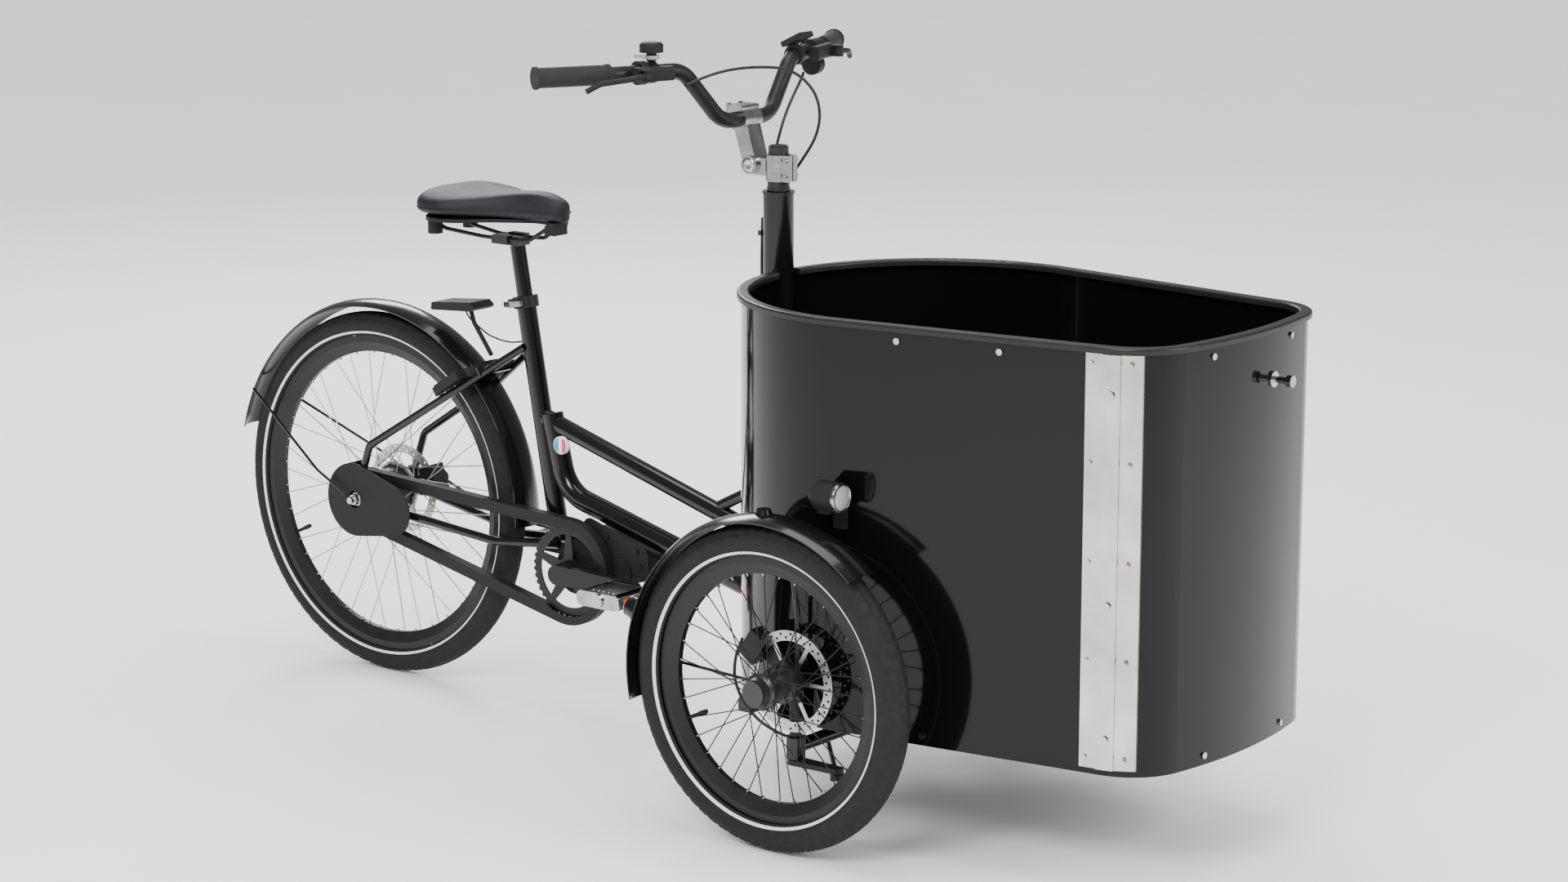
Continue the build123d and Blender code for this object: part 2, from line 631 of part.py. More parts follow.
GUARD_R = 271.0
LAMP_ANGLE = 163.0
for side, sign in SIDES.items():
    centre = Vector(FRONT_X, sign * TRACK_Y, FRONT_R)
    inner_y = sign * (TRACK_Y - 31)
    lamp_dir = Vector(cos(radians(LAMP_ANGLE)), 0, sin(radians(LAMP_ANGLE)))
    with BuildPart() as front_guard:
        add(mudguard(centre, GUARD_R, 66, 49, 143.5, 9))
        guard_shell = front_guard.part
        # hoop from the upright over to the guard, and the long rear stay
        add(bent_tube([(FRONT_X + 4, sign * 323, FRONT_R + 14.8), (FRONT_X + 3, sign * 323, FRONT_R + 105),
                       (FRONT_X - 4, sign * 341, FRONT_R + 238), (FRONT_X - 6, sign * 353, FRONT_R + 264)],
                      8, radii=[60, 12]))
        add(bent_tube([(FRONT_X - 10.5, sign * 324, FRONT_R - 11.7), (FRONT_X - 98, sign * 324, FRONT_R - 16),
                       (FRONT_X - 270, sign * 357, FRONT_R + 4)], 5, radii=60))
        # round rear lamp on the back of the guard
        with BuildSketch(Plane(origin=centre + lamp_dir * (GUARD_R - 2), z_dir=lamp_dir)):
            Circle(21)
        extrude(amount=22, taper=12)
        # mounting boss on the crown
        with BuildSketch(Plane(origin=centre + Vector(-14, 0, GUARD_R - 2))):
            Circle(14)
        extrude(amount=9, taper=20)
    save(front_guard.part, f"{side}_mudguard")

with BuildPart() as rear_mudguard:
    add(mudguard(rear_centre, 350, 62, -2, 168, 10))
    for sign in SIDES.values():
        add(bent_tube([(REAR_X - 12, sign * 88.5, REAR_R + 8), (REAR_X - 86, sign * 87, REAR_R + 44),
                       (REAR_X - 304, sign * 29, REAR_R + 156)], 5, radii=40))
save(rear_mudguard.part, "rear_mudguard")


# ---- chain drive ----
def chain_loop(grow):
    """Plan of the chain line in side view, grown outwards by this much."""
    with BuildSketch() as loop:
        with Locations((REAR_X, REAR_R)):
            Circle(SPROCKET_R + grow)
        with Locations(BB):
            Circle(CHAINRING_R + grow)
        make_hull()
    return loop.sketch


def toothed_disc(y, centre, tip, teeth, thick):
    with BuildPart() as disc:
        with BuildSketch(side_plane(y)):
            with Locations(centre):
                Circle(tip)
                with PolarLocations(tip, teeth):
                    Circle(pi * tip / teeth * 0.55, mode=Mode.SUBTRACT)
        extrude(amount=thick / 2, both=True)
    return disc.part


loops = {grow: chain_loop(grow) for grow in (-7, -5, 0.6, 8.5, 11, 13)}


def loop_band(outer, inner, half):
    with BuildPart() as band:
        with BuildSketch(side_plane(CHAIN_Y)):
            add(loops[outer])
            add(loops[inner], mode=Mode.SUBTRACT)
        extrude(amount=half, both=True)
    return band.part


save(loop_band(8.5, 0.6, 3.5), "chain")

CASE_HALF = 9.0
COVER_R = 66.0
CASE_REAR_R = SPROCKET_R + 13
with BuildPart() as chain_case:
    # closed sleeve round both runs, open in the middle of both sprockets
    add(loop_band(13, -7, CASE_HALF))
    add(loop_band(11, -5, CASE_HALF - 2), mode=Mode.SUBTRACT)
    for open_rear, open_front, half in ((1.5, -2, CASE_HALF + 1), (1.5, 1, CASE_HALF - 2)):
        with BuildSketch(side_plane(CHAIN_Y)):
            with Locations((REAR_X, REAR_R)):
                Circle(SPROCKET_R + open_rear)
            with Locations(BB):
                Circle(CHAINRING_R + open_front)
        extrude(amount=half, both=True, mode=Mode.SUBTRACT)
    # round rear cover outside the dropout, drawn out forwards, with a wall round its rear half
    with BuildSketch(side_plane(-79)):
        with Locations((REAR_X, REAR_R)):
            Circle(COVER_R)
        with Locations((REAR_X + 88, REAR_R - 8)):
            Circle(46)
        make_hull()
        with Locations((REAR_X, REAR_R)):
            Circle(15, mode=Mode.SUBTRACT)
    extrude(amount=2)
    with BuildSketch(side_plane(-79)):
        with Locations((REAR_X, REAR_R)):
            Circle(COVER_R)
            Circle(COVER_R - 2, mode=Mode.SUBTRACT)
        with Locations((REAR_X - 12, REAR_R)):
            Rectangle(90, 140, align=(Align.MAX, Align.CENTER), mode=Mode.INTERSECT)
    extrude(amount=-40)
    with BuildSketch(side_plane(CHAIN_Y + CASE_HALF)):
        with Locations((REAR_X, REAR_R)):
            Circle(COVER_R)
            Circle(CASE_REAR_R - 1.5, mode=Mode.SUBTRACT)
        with Locations((REAR_X - 12, REAR_R)):
            Rectangle(90, 140, align=(Align.MAX, Align.CENTER), mode=Mode.INTERSECT)
    extrude(amount=2)
save(chain_case.part, "chain_case")

with BuildPart() as rear_sprocket:
    add(toothed_disc(CHAIN_Y, (REAR_X, REAR_R), SPROCKET_R, 20, 3))
    with BuildSketch(side_plane(-34)):
        with Locations((REAR_X, REAR_R)):
            Circle(17)
    extrude(amount=20)
    with BuildSketch(side_plane(-30)):
        with Locations((REAR_X, REAR_R)):
            Circle(AXLE_R + RUN_FIT)
    extrude(amount=30, mode=Mode.SUBTRACT)
save(rear_sprocket.part, "rear_sprocket")

SPINDLE_R = 10.0
with BuildPart() as chainring:
    add(toothed_disc(CHAIN_Y, BB, CHAINRING_R, 40, 3))
    with BuildSketch(side_plane(CHAIN_Y)):
        with Locations(BB):
            Circle(CHAINRING_R - 16)
    extrude(amount=2, both=True, mode=Mode.SUBTRACT)
    with BuildSketch(side_plane(CHAIN_Y)):
        with Locations(BB):
            with PolarLocations(42, 5, start_angle=18):
                Trapezoid(22, 52, 84, rotation=-90)
            Circle(24)
            Circle(SPINDLE_R, mode=Mode.SUBTRACT)
    extrude(amount=2, both=True)
save(chainring.part, "chainring")

CRANK_Y = 74.0
with BuildPart() as crank_arms:
    with BuildSketch(side_plane(0)):
        with Locations(BB):
            Circle(SPINDLE_R)
    extrude(amount=CRANK_Y + 8, both=True)
    for sign in SIDES.values():
        end_x = BB[0] - sign * CRANK
        with BuildSketch(side_plane(sign * CRANK_Y)):
            with Locations(BB):
                Circle(17)
            with Locations((end_x, BB[1])):
                Circle(13)
            make_hull()
        extrude(amount=-sign * 13)
        with BuildSketch(side_plane(sign * (CRANK_Y + 13))):
            with Locations((end_x, BB[1])):
                Circle(7)
        extrude(amount=-sign * 84)
    with BuildSketch(side_plane(-CRANK_Y)):
        with Locations(BB):
            Circle(19)
    extrude(amount=-20)
    with BuildSketch(side_plane(0)):
        with Locations(BB):
            Circle(SPINDLE_R)
    extrude(amount=CRANK_Y, both=True)
    add(chainring.part, mode=Mode.SUBTRACT)
save(crank_arms.part, "crank_arms")

PEDAL_L = 92.0
PEDAL_W = 84.0
for side, sign in SIDES.items():
    x = BB[0] - sign * CRANK
    inner = CRANK_Y + 15
    with BuildPart() as pedal:
        with BuildSketch(side_plane(sign * inner)):
            with Locations((x, BB[1])):
                Circle(12)
                Circle(7 + RUN_FIT, mode=Mode.SUBTRACT)
        extrude(amount=-sign * PEDAL_W)
        with BuildSketch(side_plane(sign * (inner + PEDAL_W))):
            with Locations((x, BB[1])):
                Circle(12)
        extrude(amount=-sign * 4)
        for end in (0, PEDAL_W - 8):
            with BuildSketch(side_plane(sign * (inner + 4 + end))):
                with Locations((x, BB[1])):
                    RectangleRounded(PEDAL_L, 26, 10)
                    Circle(7.5, mode=Mode.SUBTRACT)
            extrude(amount=-sign * 4)
        for edge in (-1, 1):
            with Locations((x + edge * (PEDAL_L / 2 - 3), sign * (inner + PEDAL_W / 2 + 2), BB[1])):
                Box(4, PEDAL_W - 8, 20)
        with Locations((x, sign * (inner + PEDAL_W / 2 + 2), BB[1] + 10)):
            Box(PEDAL_L - 30, PEDAL_W - 8, 5)
        with Locations((x, sign * (inner + PEDAL_W / 2 + 2), BB[1] - 10)):
            Box(PEDAL_L - 30, PEDAL_W - 8, 5)
        with Locations((x, sign * (inner + PEDAL_W / 2), BB[1])):
            Cylinder(7 + RUN_FIT, PEDAL_W + 3, rotation=(90, 0, 0), mode=Mode.SUBTRACT)
    save(pedal.part, f"{side}_pedal")


# ---- seat ----
with BuildPart() as seat_collar:
    with BuildSketch(seat_plane.offset(-16)):
        Circle(SEAT_TUBE_OD / 2 + 5)
        Circle(SEAT_TUBE_OD / 2 + 0.05, mode=Mode.SUBTRACT)
    extrude(amount=20)
    with BuildSketch(seat_plane.offset(0.3)):
        Circle(SEAT_TUBE_OD / 2 + 5)
        Circle(POST_D / 2 + 0.4, mode=Mode.SUBTRACT)
    extrude(amount=3.7)
    # ears behind the tube, with the slit between them
    with BuildSketch(seat_plane.offset(-14)):
        with Locations((0, 26)):
            Rectangle(15, 18)
            Rectangle(2.5, 18, mode=Mode.SUBTRACT)
        Circle(SEAT_TUBE_OD / 2 + 2, mode=Mode.SUBTRACT)
    extrude(amount=15)
save(seat_collar.part, "seat_collar")

LEVER_LOW = -11.0
LEVER_PIVOT = seat_plane.offset(LEVER_LOW).from_local_coords(Vector(-15, 31, 0))
with BuildPart() as collar_lever:
    with BuildSketch(seat_plane.offset(LEVER_LOW)):
        with Locations((-15, 31)):
            Circle(6)
        with Locations((-30, 5)):
            Circle(5)
        make_hull()
    extrude(amount=9)
    with BuildSketch(seat_plane.offset(LEVER_LOW)):
        with Locations((-30, 5)):
            Circle(5)
        with Locations((-29, -13)):
            Circle(4)
        make_hull()
    extrude(amount=9)
save(collar_lever.part, "collar_lever")

POST_IN = 150.0
POST_OUT = 92.0
post_head = seat_plane.offset(POST_OUT).origin
with BuildPart() as seat_post:
    with BuildSketch(seat_plane.offset(-POST_IN)):
        Circle(POST_D / 2)
        Circle(POST_D / 2 - 2.5, mode=Mode.SUBTRACT)
    extrude(amount=POST_IN + POST_OUT)
    with Locations(post_head + Vector(-16, 0, 8)):
        Box(62, 30, 15)
    for sign in SIDES.values():
        with Locations(post_head + Vector(-16, sign * 22.0, 12)):
            Box(36, 14.5, 12)
            Cylinder(3.6, 90, rotation=(0, 90, 0), mode=Mode.SUBTRACT)
save(seat_post.part, "seat_post")

rail_z = post_head.Z + 12
with BuildPart() as saddle_rails:
    for sign in SIDES.values():
        add(bent_tube([(REAR_X + 415, sign * 12, rail_z + 30), (REAR_X + 372, sign * 20, rail_z + 2),
                       (post_head.X + 20, sign * 22, rail_z), (post_head.X - 60, sign * 22, rail_z),
                       (REAR_X + 188, sign * 32, rail_z + 8), (REAR_X + 168, sign * 46, rail_z + 26)],
                      7, radii=[24, 90, 70, 22]))
save(saddle_rails.part, "saddle_rails")

SADDLE_BACK = REAR_X + 150
SADDLE_NOSE = REAR_X + 445


def saddle_plan(shrink):
    """Half widths of the saddle along its length, drawn in by shrink."""
    stations = [(SADDLE_BACK, 0), (SADDLE_BACK + 6, 58), (SADDLE_BACK + 46, 108), (SADDLE_BACK + 98, 108),
                (SADDLE_BACK + 150, 66), (SADDLE_BACK + 200, 36), (SADDLE_NOSE - 30, 25), (SADDLE_NOSE, 0)]
    middle = (SADDLE_BACK + SADDLE_NOSE) / 2
    scale = 1 - 2 * shrink / (SADDLE_NOSE - SADDLE_BACK)
    points = [(middle + (x - middle) * scale, max(half - shrink, 0)) for x, half in stations]
    points[0] = (points[0][0], 0)
    with BuildSketch() as plan:
        with BuildLine():
            Spline(*points, tangents=((0, 1), (0, -1)))
            Spline(*[(x, -half) for x, half in points], tangents=((0, -1), (0, 1)))
        make_face()
    return plan.sketch


SADDLE_Z = rail_z + 30
with BuildPart() as saddle_shell:
    with BuildSketch(Plane.XY.offset(SADDLE_Z)):
        add(saddle_plan(14))
    extrude(amount=6)
    # elastomer springs under the back
    with Locations((REAR_X + 176, 44, SADDLE_Z - 30), (REAR_X + 176, -44, SADDLE_Z - 30)):
        Cylinder(13, 30, align=(Align.CENTER, Align.CENTER, Align.MIN))
    with Locations((REAR_X + 415, 0, SADDLE_Z - 8)):
        Box(22, 34, 16)
    add(saddle_rails.part, mode=Mode.SUBTRACT)
save(saddle_shell.part, "saddle_shell")

with BuildPart() as saddle_cover:
    for lift, shrink in ((6.3, 3), (57, 16)):
        with BuildSketch(Plane.XY.offset(SADDLE_Z + lift)):
            add(saddle_plan(shrink))
    loft()
save(saddle_cover.part, "saddle_cover")


# ---- steering ----
STEM_LOW = 966.5
STEM_HIGH = 1009.0
with BuildPart() as steerer:
    with BuildSketch(Plane.XY.offset(ARM_Z + 4)):
        with Locations((COLUMN_X, 0)):
            Circle(STEERER_D / 2)
            Circle(STEERER_D / 2 - 3, mode=Mode.SUBTRACT)
    extrude(amount=1020 - ARM_Z - 4)
    # spacers below and above the stem, and the cap
    for low, high, radius in ((COLUMN_TOP + 1, COLUMN_TOP + 6, 19), (COLUMN_TOP + 6, STEM_LOW - 0.2, 18),
                              (STEM_HIGH + 0.2, 1022, 16.5)):
        with BuildSketch(Plane.XY.offset(low)):
            with Locations((COLUMN_X, 0)):
                Circle(radius)
                Circle(STEERER_D / 2 - 1, mode=Mode.SUBTRACT)
        extrude(amount=high - low)
    with BuildSketch(Plane.XY.offset(1020)):
        with Locations((COLUMN_X, 0)):
            Circle(14)
    extrude(amount=4)
    # pitman arm and the pin that both tie rods share
    with BuildSketch(Plane.XY.offset(ARM_Z - 4)):
        with Locations((COLUMN_X, 0)):
            Circle(STEERER_D / 2 + 3)
        with Locations(PITMAN):
            Circle(11)
        make_hull()
    extrude(amount=8)
    add(pin_ring(PITMAN[0], PITMAN[1], ARM_Z - 16, PIN_R, 0, 28))
save(steerer.part, "steerer")

PIVOT = (COLUMN_X - 46, 990.0)
CLAMP = (COLUMN_X - 68, 1062.0)
BAR_D = 25.4
with BuildPart() as stem:
    with BuildSketch(Plane.XY.offset(STEM_LOW)):
        with Locations((COLUMN_X, 0)):
            Circle(STEERER_D / 2 + 6)
        with Locations((COLUMN_X + 21, 0)):
            Rectangle(16, 24)
    extrude(amount=STEM_HIGH - STEM_LOW)
    with Locations(((COLUMN_X + PIVOT[0]) / 2, 0, PIVOT[1] - 2)):
        Box(48, 26, 28)
    with BuildSketch(side_plane(0)):
        with Locations(PIVOT):
            Circle(15)
    extrude(amount=20, both=True)
    with BuildSketch(side_plane(0)):
        with Locations(PIVOT):
            Circle(13)
        with Locations(CLAMP):
            Circle(14)
        make_hull()
    extrude(amount=17, both=True)
    with BuildSketch(side_plane(0)):
        with Locations(CLAMP):
            Circle(BAR_D / 2 + 6)
        with Locations((CLAMP[0] - 6, CLAMP[1] + 10)):
            RectangleRounded(34, 26, 4)
    extrude(amount=22, both=True)
    with BuildSketch(side_plane(0)):
        with Locations(CLAMP):
            Circle(BAR_D / 2 + 0.02)
    extrude(amount=40, both=True, mode=Mode.SUBTRACT)
    with Locations((COLUMN_X, 0, STEM_LOW)):
        Cylinder(STEERER_D / 2 + 0.02, 200, mode=Mode.SUBTRACT)
    with Locations((COLUMN_X + 22, 0, STEM_LOW + 20)):
        Box(24, 2.5, 60, mode=Mode.SUBTRACT)
    # clamp bolts
    for z in (STEM_LOW + 9, STEM_HIGH - 9):
        with Locations((COLUMN_X + 24, 0, z)):
            Cylinder(3.2, 34, rotation=(90, 0, 0))
save(stem.part, "stem")

GRIP_SWEEP = 28.0
bar_half = [(CLAMP[0], 0, CLAMP[1]), (CLAMP[0], 62, CLAMP[1]), (CLAMP[0] - 16, 140, CLAMP[1] + 88),
            (CLAMP[0] - 48, 262, CLAMP[1] + 90)]
grip_dir = Vector(-sin(radians(GRIP_SWEEP)), cos(radians(GRIP_SWEEP)), 0)
bar_end = Vector(*bar_half[-1]) + grip_dir * 132
right_bar = [Vector(x, -y, z) for x, y, z in bar_half[1:]] + [Vector(bar_end.X, -bar_end.Y, bar_end.Z)]
left_bar = [Vector(x, y, z) for x, y, z in bar_half[1:]] + [bar_end]
with BuildPart() as handlebar:
    add(bent_tube([tuple(p) for p in reversed(right_bar)] + [tuple(p) for p in left_bar], BAR_D - 0.04, BAR_D - 5,
                  radii=[55, 48, 55, 55, 48, 55]))
save(handlebar.part, "handlebar")
with BuildPart() as bar_blank:
    add(bent_tube([tuple(p) for p in reversed(right_bar)] + [tuple(p) for p in left_bar], BAR_D,
                  radii=[55, 48, 55, 55, 48, 55]))

with BuildPart() as grips:
    for sign in SIDES.values():
        along = Vector(grip_dir.X, sign * grip_dir.Y, 0)
        inner = Vector(bar_half[-1][0], sign * bar_half[-1][1], bar_half[-1][2]) + along * 12
        for length, radius, lift in ((6, 17, 0), (114, 16, 6), (5, 18, 120)):
            with BuildSketch(Plane(origin=inner + along * lift, z_dir=along)):
                Circle(radius)
                if lift < 120:
                    Circle(BAR_D / 2 + 0.1, mode=Mode.SUBTRACT)
            extrude(amount=length)
save(grips.part, "grips")


def bar_frame(sign, back):
    """Plane on the outer bar, back along it from the grip: local z along the bar, local x forward."""
    start = Vector(CLAMP[0] - 16, sign * 140, CLAMP[1] + 88)
    end = Vector(bar_half[-1][0], sign * bar_half[-1][1], bar_half[-1][2])
    along = (end - start).normalized()
    forward = Vector(0, 0, 1).cross(along) * -sign
    return Plane(origin=end - along * back, x_dir=forward, z_dir=along)


def bar_clip(sign, back, width, outer):
    frame = bar_frame(sign, back)
    with BuildPart() as clip:
        with BuildSketch(frame):
            Circle(outer)
            Circle(BAR_D / 2 + 0.1, mode=Mode.SUBTRACT)
        extrude(amount=width)
    return clip.part


LEVER_PIN_R = 3.0
LEVER_PIVOTS = {sign: bar_frame(sign, 42).from_local_coords(Vector(45, 0, 12)) for sign in SIDES.values()}
SHIFTER = bar_frame(1, 34)
SHIFT_PIVOT = SHIFTER.from_local_coords(Vector(-4, 26, 26))
with BuildPart() as bar_controls:
    for sign in SIDES.values():
        frame = bar_frame(sign, 42)
        add(bar_clip(sign, 52, 14, 19))
        # master cylinder lying along the bar, in front of it
        with BuildSketch(Plane(origin=frame.from_local_coords(Vector(25, 0, -46)), x_dir=frame.x_dir,
                               z_dir=frame.z_dir)):
            RectangleRounded(19, 23, 6)
        extrude(amount=70)
        # clevis ears and pin of the brake lever
        for low in (-9.5, 6.2):
            with BuildSketch(Plane(origin=LEVER_PIVOTS[sign] + Vector(0, 0, low))):
                Circle(8)
            extrude(amount=3.3)
            with BuildSketch(Plane(origin=LEVER_PIVOTS[sign] + Vector(0, 0, low), x_dir=frame.x_dir)):
                with Locations((-8, 0)):
                    Rectangle(14, 16)
            extrude(amount=3.3)
        with BuildSketch(Plane(origin=LEVER_PIVOTS[sign] + Vector(0, 0, -8))):
            Circle(LEVER_PIN_R)
        extrude(amount=16)
    # shifter housing under the left bar, display by the left riser
    add(bar_clip(1, 34, 22, 18))
    with BuildSketch(Plane(origin=SHIFTER.from_local_coords(Vector(-4, 26, 2)), x_dir=SHIFTER.x_dir,
                           z_dir=SHIFTER.z_dir)):
        Circle(17)
    extrude(amount=20)
    with BuildSketch(Plane(origin=SHIFT_PIVOT, x_dir=SHIFTER.x_dir, z_dir=SHIFTER.z_dir).offset(-4)):
        Circle(4)
    extrude(amount=10)
    add(bar_clip(1, 116, 10, 17))
    display = bar_frame(1, 114)
    with Locations(Location(display.from_local_coords(Vector(4, -26, 4)), (0, -25, 0))):
        Box(44, 34, 9)
    with Locations(Location(display.from_local_coords(Vector(0, -17, 4)))):
        Box(12, 8, 14)
    # clamp of the bell on the right
    add(bar_clip(-1, 72, 10, 17))
    add(bar_blank.part, mode=Mode.SUBTRACT)
save(bar_controls.part, "bar_controls")

for side, sign in SIDES.items():
    pivot = LEVER_PIVOTS[sign]
    along = Vector(grip_dir.X, sign * grip_dir.Y, 0)
    route = [pivot + along * 2, pivot + along * 34 + Vector(10, 0, -3), pivot + along * 84 + Vector(4, 0, -9),
             pivot + along * 106 + Vector(2, 0, -20)]
    with BuildPart() as lever:
        add(bent_tube([tuple(p) for p in route], 9, radii=[30, 24]))
        with Locations(pivot):
            Cylinder(8, 11)
            Cylinder(LEVER_PIN_R + RUN_FIT, 20, mode=Mode.SUBTRACT)
    save(lever.part, f"{side}_brake_lever")

with BuildPart() as shift_lever:
    shift_plane = Plane(origin=SHIFT_PIVOT, x_dir=SHIFTER.x_dir, z_dir=SHIFTER.z_dir)
    with BuildSketch(shift_plane.offset(-3.5)):
        Circle(9)
        with Locations((-33, -5)):
            Circle(7)
        make_hull()
        Circle(4 + RUN_FIT, mode=Mode.SUBTRACT)
    extrude(amount=5)
save(shift_lever.part, "shift_lever")

bell_base = bar_frame(-1, 67)
with BuildPart() as bell:
    with BuildSketch(Plane(origin=bell_base.origin + Vector(0, 0, 17.5))):
        Circle(8)
    extrude(amount=14)
    with BuildSketch(Plane(origin=bell_base.origin + Vector(0, 0, 31.5))):
        Circle(19)
    extrude(amount=16)
    fillet(bell.edges().filter_by(GeomType.CIRCLE).sort_by(Axis.Z)[-1], 6)
save(bell.part, "bell")

with BuildPart() as bell_lever:
    with BuildSketch(Plane(origin=bell_base.origin + Vector(0, 0, 21))):
        Circle(13)
        Circle(8 + RUN_FIT, mode=Mode.SUBTRACT)
        with Locations((-22, 0)):
            Rectangle(22, 9)
    extrude(amount=6)
save(bell_lever.part, "bell_lever")


# ---- ring lock, rear light, rear caliper, headlamps ----
LOCK_R = 61.0
stay_rise = Vector(145, 0, 92).normalized()
stay_normal = Vector(-stay_rise.Z, 0, stay_rise.X)
lock_centre = Vector(REAR_X + 221, 0, 544) + stay_normal * 18 - stay_rise * 8
lock_plane = Plane(origin=lock_centre, x_dir=(0, 1, 0), z_dir=stay_normal * -1)


def lock_arc(start, end):
    """Arc of the shackle's centre line, in degrees from the rider's left, over the tyre."""
    spots = [(LOCK_R * cos(radians(a)), LOCK_R * sin(radians(a))) for a in (start, (start + end) / 2, end)]
    with BuildPart() as arc:
        with BuildLine(lock_plane) as path:
            ThreePointArc(*spots)
        with BuildSketch(Plane(origin=path.line @ 0, z_dir=path.line % 0)):
            Circle(4.5)
        sweep(path=path.line)
    return arc.part


with BuildPart() as lock_channel:
    with BuildSketch(lock_plane):
        Circle(LOCK_R + 5)
        Circle(LOCK_R - 5, mode=Mode.SUBTRACT)
    extrude(amount=5, both=True)
with BuildPart() as ring_lock:
    with BuildSketch(lock_plane):
        Circle(LOCK_R + 7.5)
        with Locations((0, 18)):
            Rectangle(2 * LOCK_R + 22, 60)
        Circle(LOCK_R - 7, mode=Mode.SUBTRACT)
        with Locations((0, -26)):
            Rectangle(200, 80, align=(Align.CENTER, Align.MAX), mode=Mode.SUBTRACT)
        with Locations((0, LOCK_R + 7.5)):
            Rectangle(200, 40, align=(Align.CENTER, Align.MIN), mode=Mode.SUBTRACT)
    extrude(amount=8, both=True)
    add(lock_channel.part, mode=Mode.SUBTRACT)
    add(rear_stays.part, mode=Mode.SUBTRACT)
save(ring_lock.part.solids().sort_by(SortBy.VOLUME)[-1], "ring_lock")
with BuildPart() as lock_shackle:
    add(lock_arc(50, 200))
save(lock_shackle.part, "lock_shackle")

with BuildPart() as rear_light:
    with BuildSketch(side_plane(0)):
        with BuildLine():
            Polyline((REAR_X + 143, 678), (REAR_X + 146, 692), (REAR_X + 236, 700), (REAR_X + 248, 690),
                     (REAR_X + 236, 684), close=True)
        make_face()
    extrude(amount=26, both=True)
    fillet(rear_light.edges().filter_by(Axis.Y), 3)
    add(bent_tube([(REAR_X + 214, 0, 684), (REAR_X + 222, 0, 660), (REAR_X + 262, 0, 607)], 8, radii=18))
save(rear_light.part, "rear_light")

with BuildPart() as rear_caliper:
    with Locations(Plane(origin=(REAR_X + 75, 45, REAR_R + 28), x_dir=(-0.35, 0, 0.94), z_dir=(0, 1, 0)).location):
        Box(46, 34, 30)
        with Locations((0, -10, 0)):
            Box(60, 40, 5, mode=Mode.SUBTRACT)
    with BuildSketch(side_plane(60)):
        with Locations((REAR_X + 80, REAR_R + 28)):
            Circle(11)
        with Locations((REAR_X + 22, REAR_R + 12)):
            Circle(9)
        make_hull()
    extrude(amount=-6.9)
    add(rear_stays.part, mode=Mode.SUBTRACT)
    with BuildSketch(side_plane(50)):
        with Locations((REAR_X, REAR_R)):
            Circle(26)
    extrude(amount=-30, mode=Mode.SUBTRACT)
save(rear_caliper.part, "rear_caliper")

LAMP = (REAR_X + 1262, 345.0, 560.0)
with BuildPart() as headlamps:
    for sign in SIDES.values():
        with BuildSketch(Plane(origin=(LAMP[0] - 18, sign * LAMP[1], LAMP[2]), z_dir=(1, 0, 0))):
            Circle(23)
        extrude(amount=40)
        with BuildSketch(Plane(origin=(LAMP[0] - 18, sign * LAMP[1], LAMP[2]), z_dir=(-1, 0, 0))):
            Circle(22)
        extrude(amount=16, taper=38)
        # bracket from under the lamp to the panel
        panel_y = outline_point(LAMP[0] - 6, PANEL_INSET)
        with Locations((LAMP[0] - 6, sign * (LAMP[1] + panel_y) / 2, LAMP[2] - 24)):
            Box(22, LAMP[1] - panel_y + 14, 6)
        with Locations((LAMP[0] - 6, sign * (panel_y + 1), LAMP[2] - 40)):
            Box(22, 12, 34)
    add(box_panel.part, mode=Mode.SUBTRACT)
    with BuildPart(mode=Mode.PRIVATE) as panel_core:
        add(box_band(panel_inner, 60, 500, 600))
    add(panel_core.part, mode=Mode.SUBTRACT)
save(headlamps.part, "headlamps")


# ---- hoses and cables ----
HOSE_D = 5.0
WIRE_D = 3.0


def down_column(sign, top, drop, count):
    """Spots of a hose down the back of the column, easing round to its side."""
    spots = []
    for i in range(count):
        reach = COLUMN_OD / 2 + 3.2 + 0.8 * (i % 2)
        angle = radians(195 + 3.6 * i)
        spots.append((COLUMN_X + reach * cos(angle), -sign * reach * sin(angle), top - drop * i))
    return spots


def under_box(sign):
    """Spots of a hose from the foot of the column, under the box, to the kingpin."""
    return [(COLUMN_X - 22, sign * 38, 226), (COLUMN_X - 10, sign * 52, 188), (COLUMN_X + 26, sign * 64, 171),
            (COLUMN_X + 74, sign * 78, 169), (COLUMN_X + 122, sign * 102, 171), (COLUMN_X + 168, sign * 134, 169),
            (COLUMN_X + 210, sign * 170, 171), (COLUMN_X + 242, sign * 212, 168), (FRONT_X - 26, sign * 258, 160)]


def to_caliper(sign):
    """Spots of a hose from beside the kingpin up to the caliper, looping back behind the wheel."""
    return [(FRONT_X - 26, sign * 301, 153), (FRONT_X - 52, sign * 304, 158), (FRONT_X - 84, sign * 309, 172),
            (FRONT_X - 112, sign * 315, 200), (FRONT_X - 124, sign * 321, 238), (FRONT_X - 116, sign * 326, 276),
            (FRONT_X - 100, sign * 329, 306)]


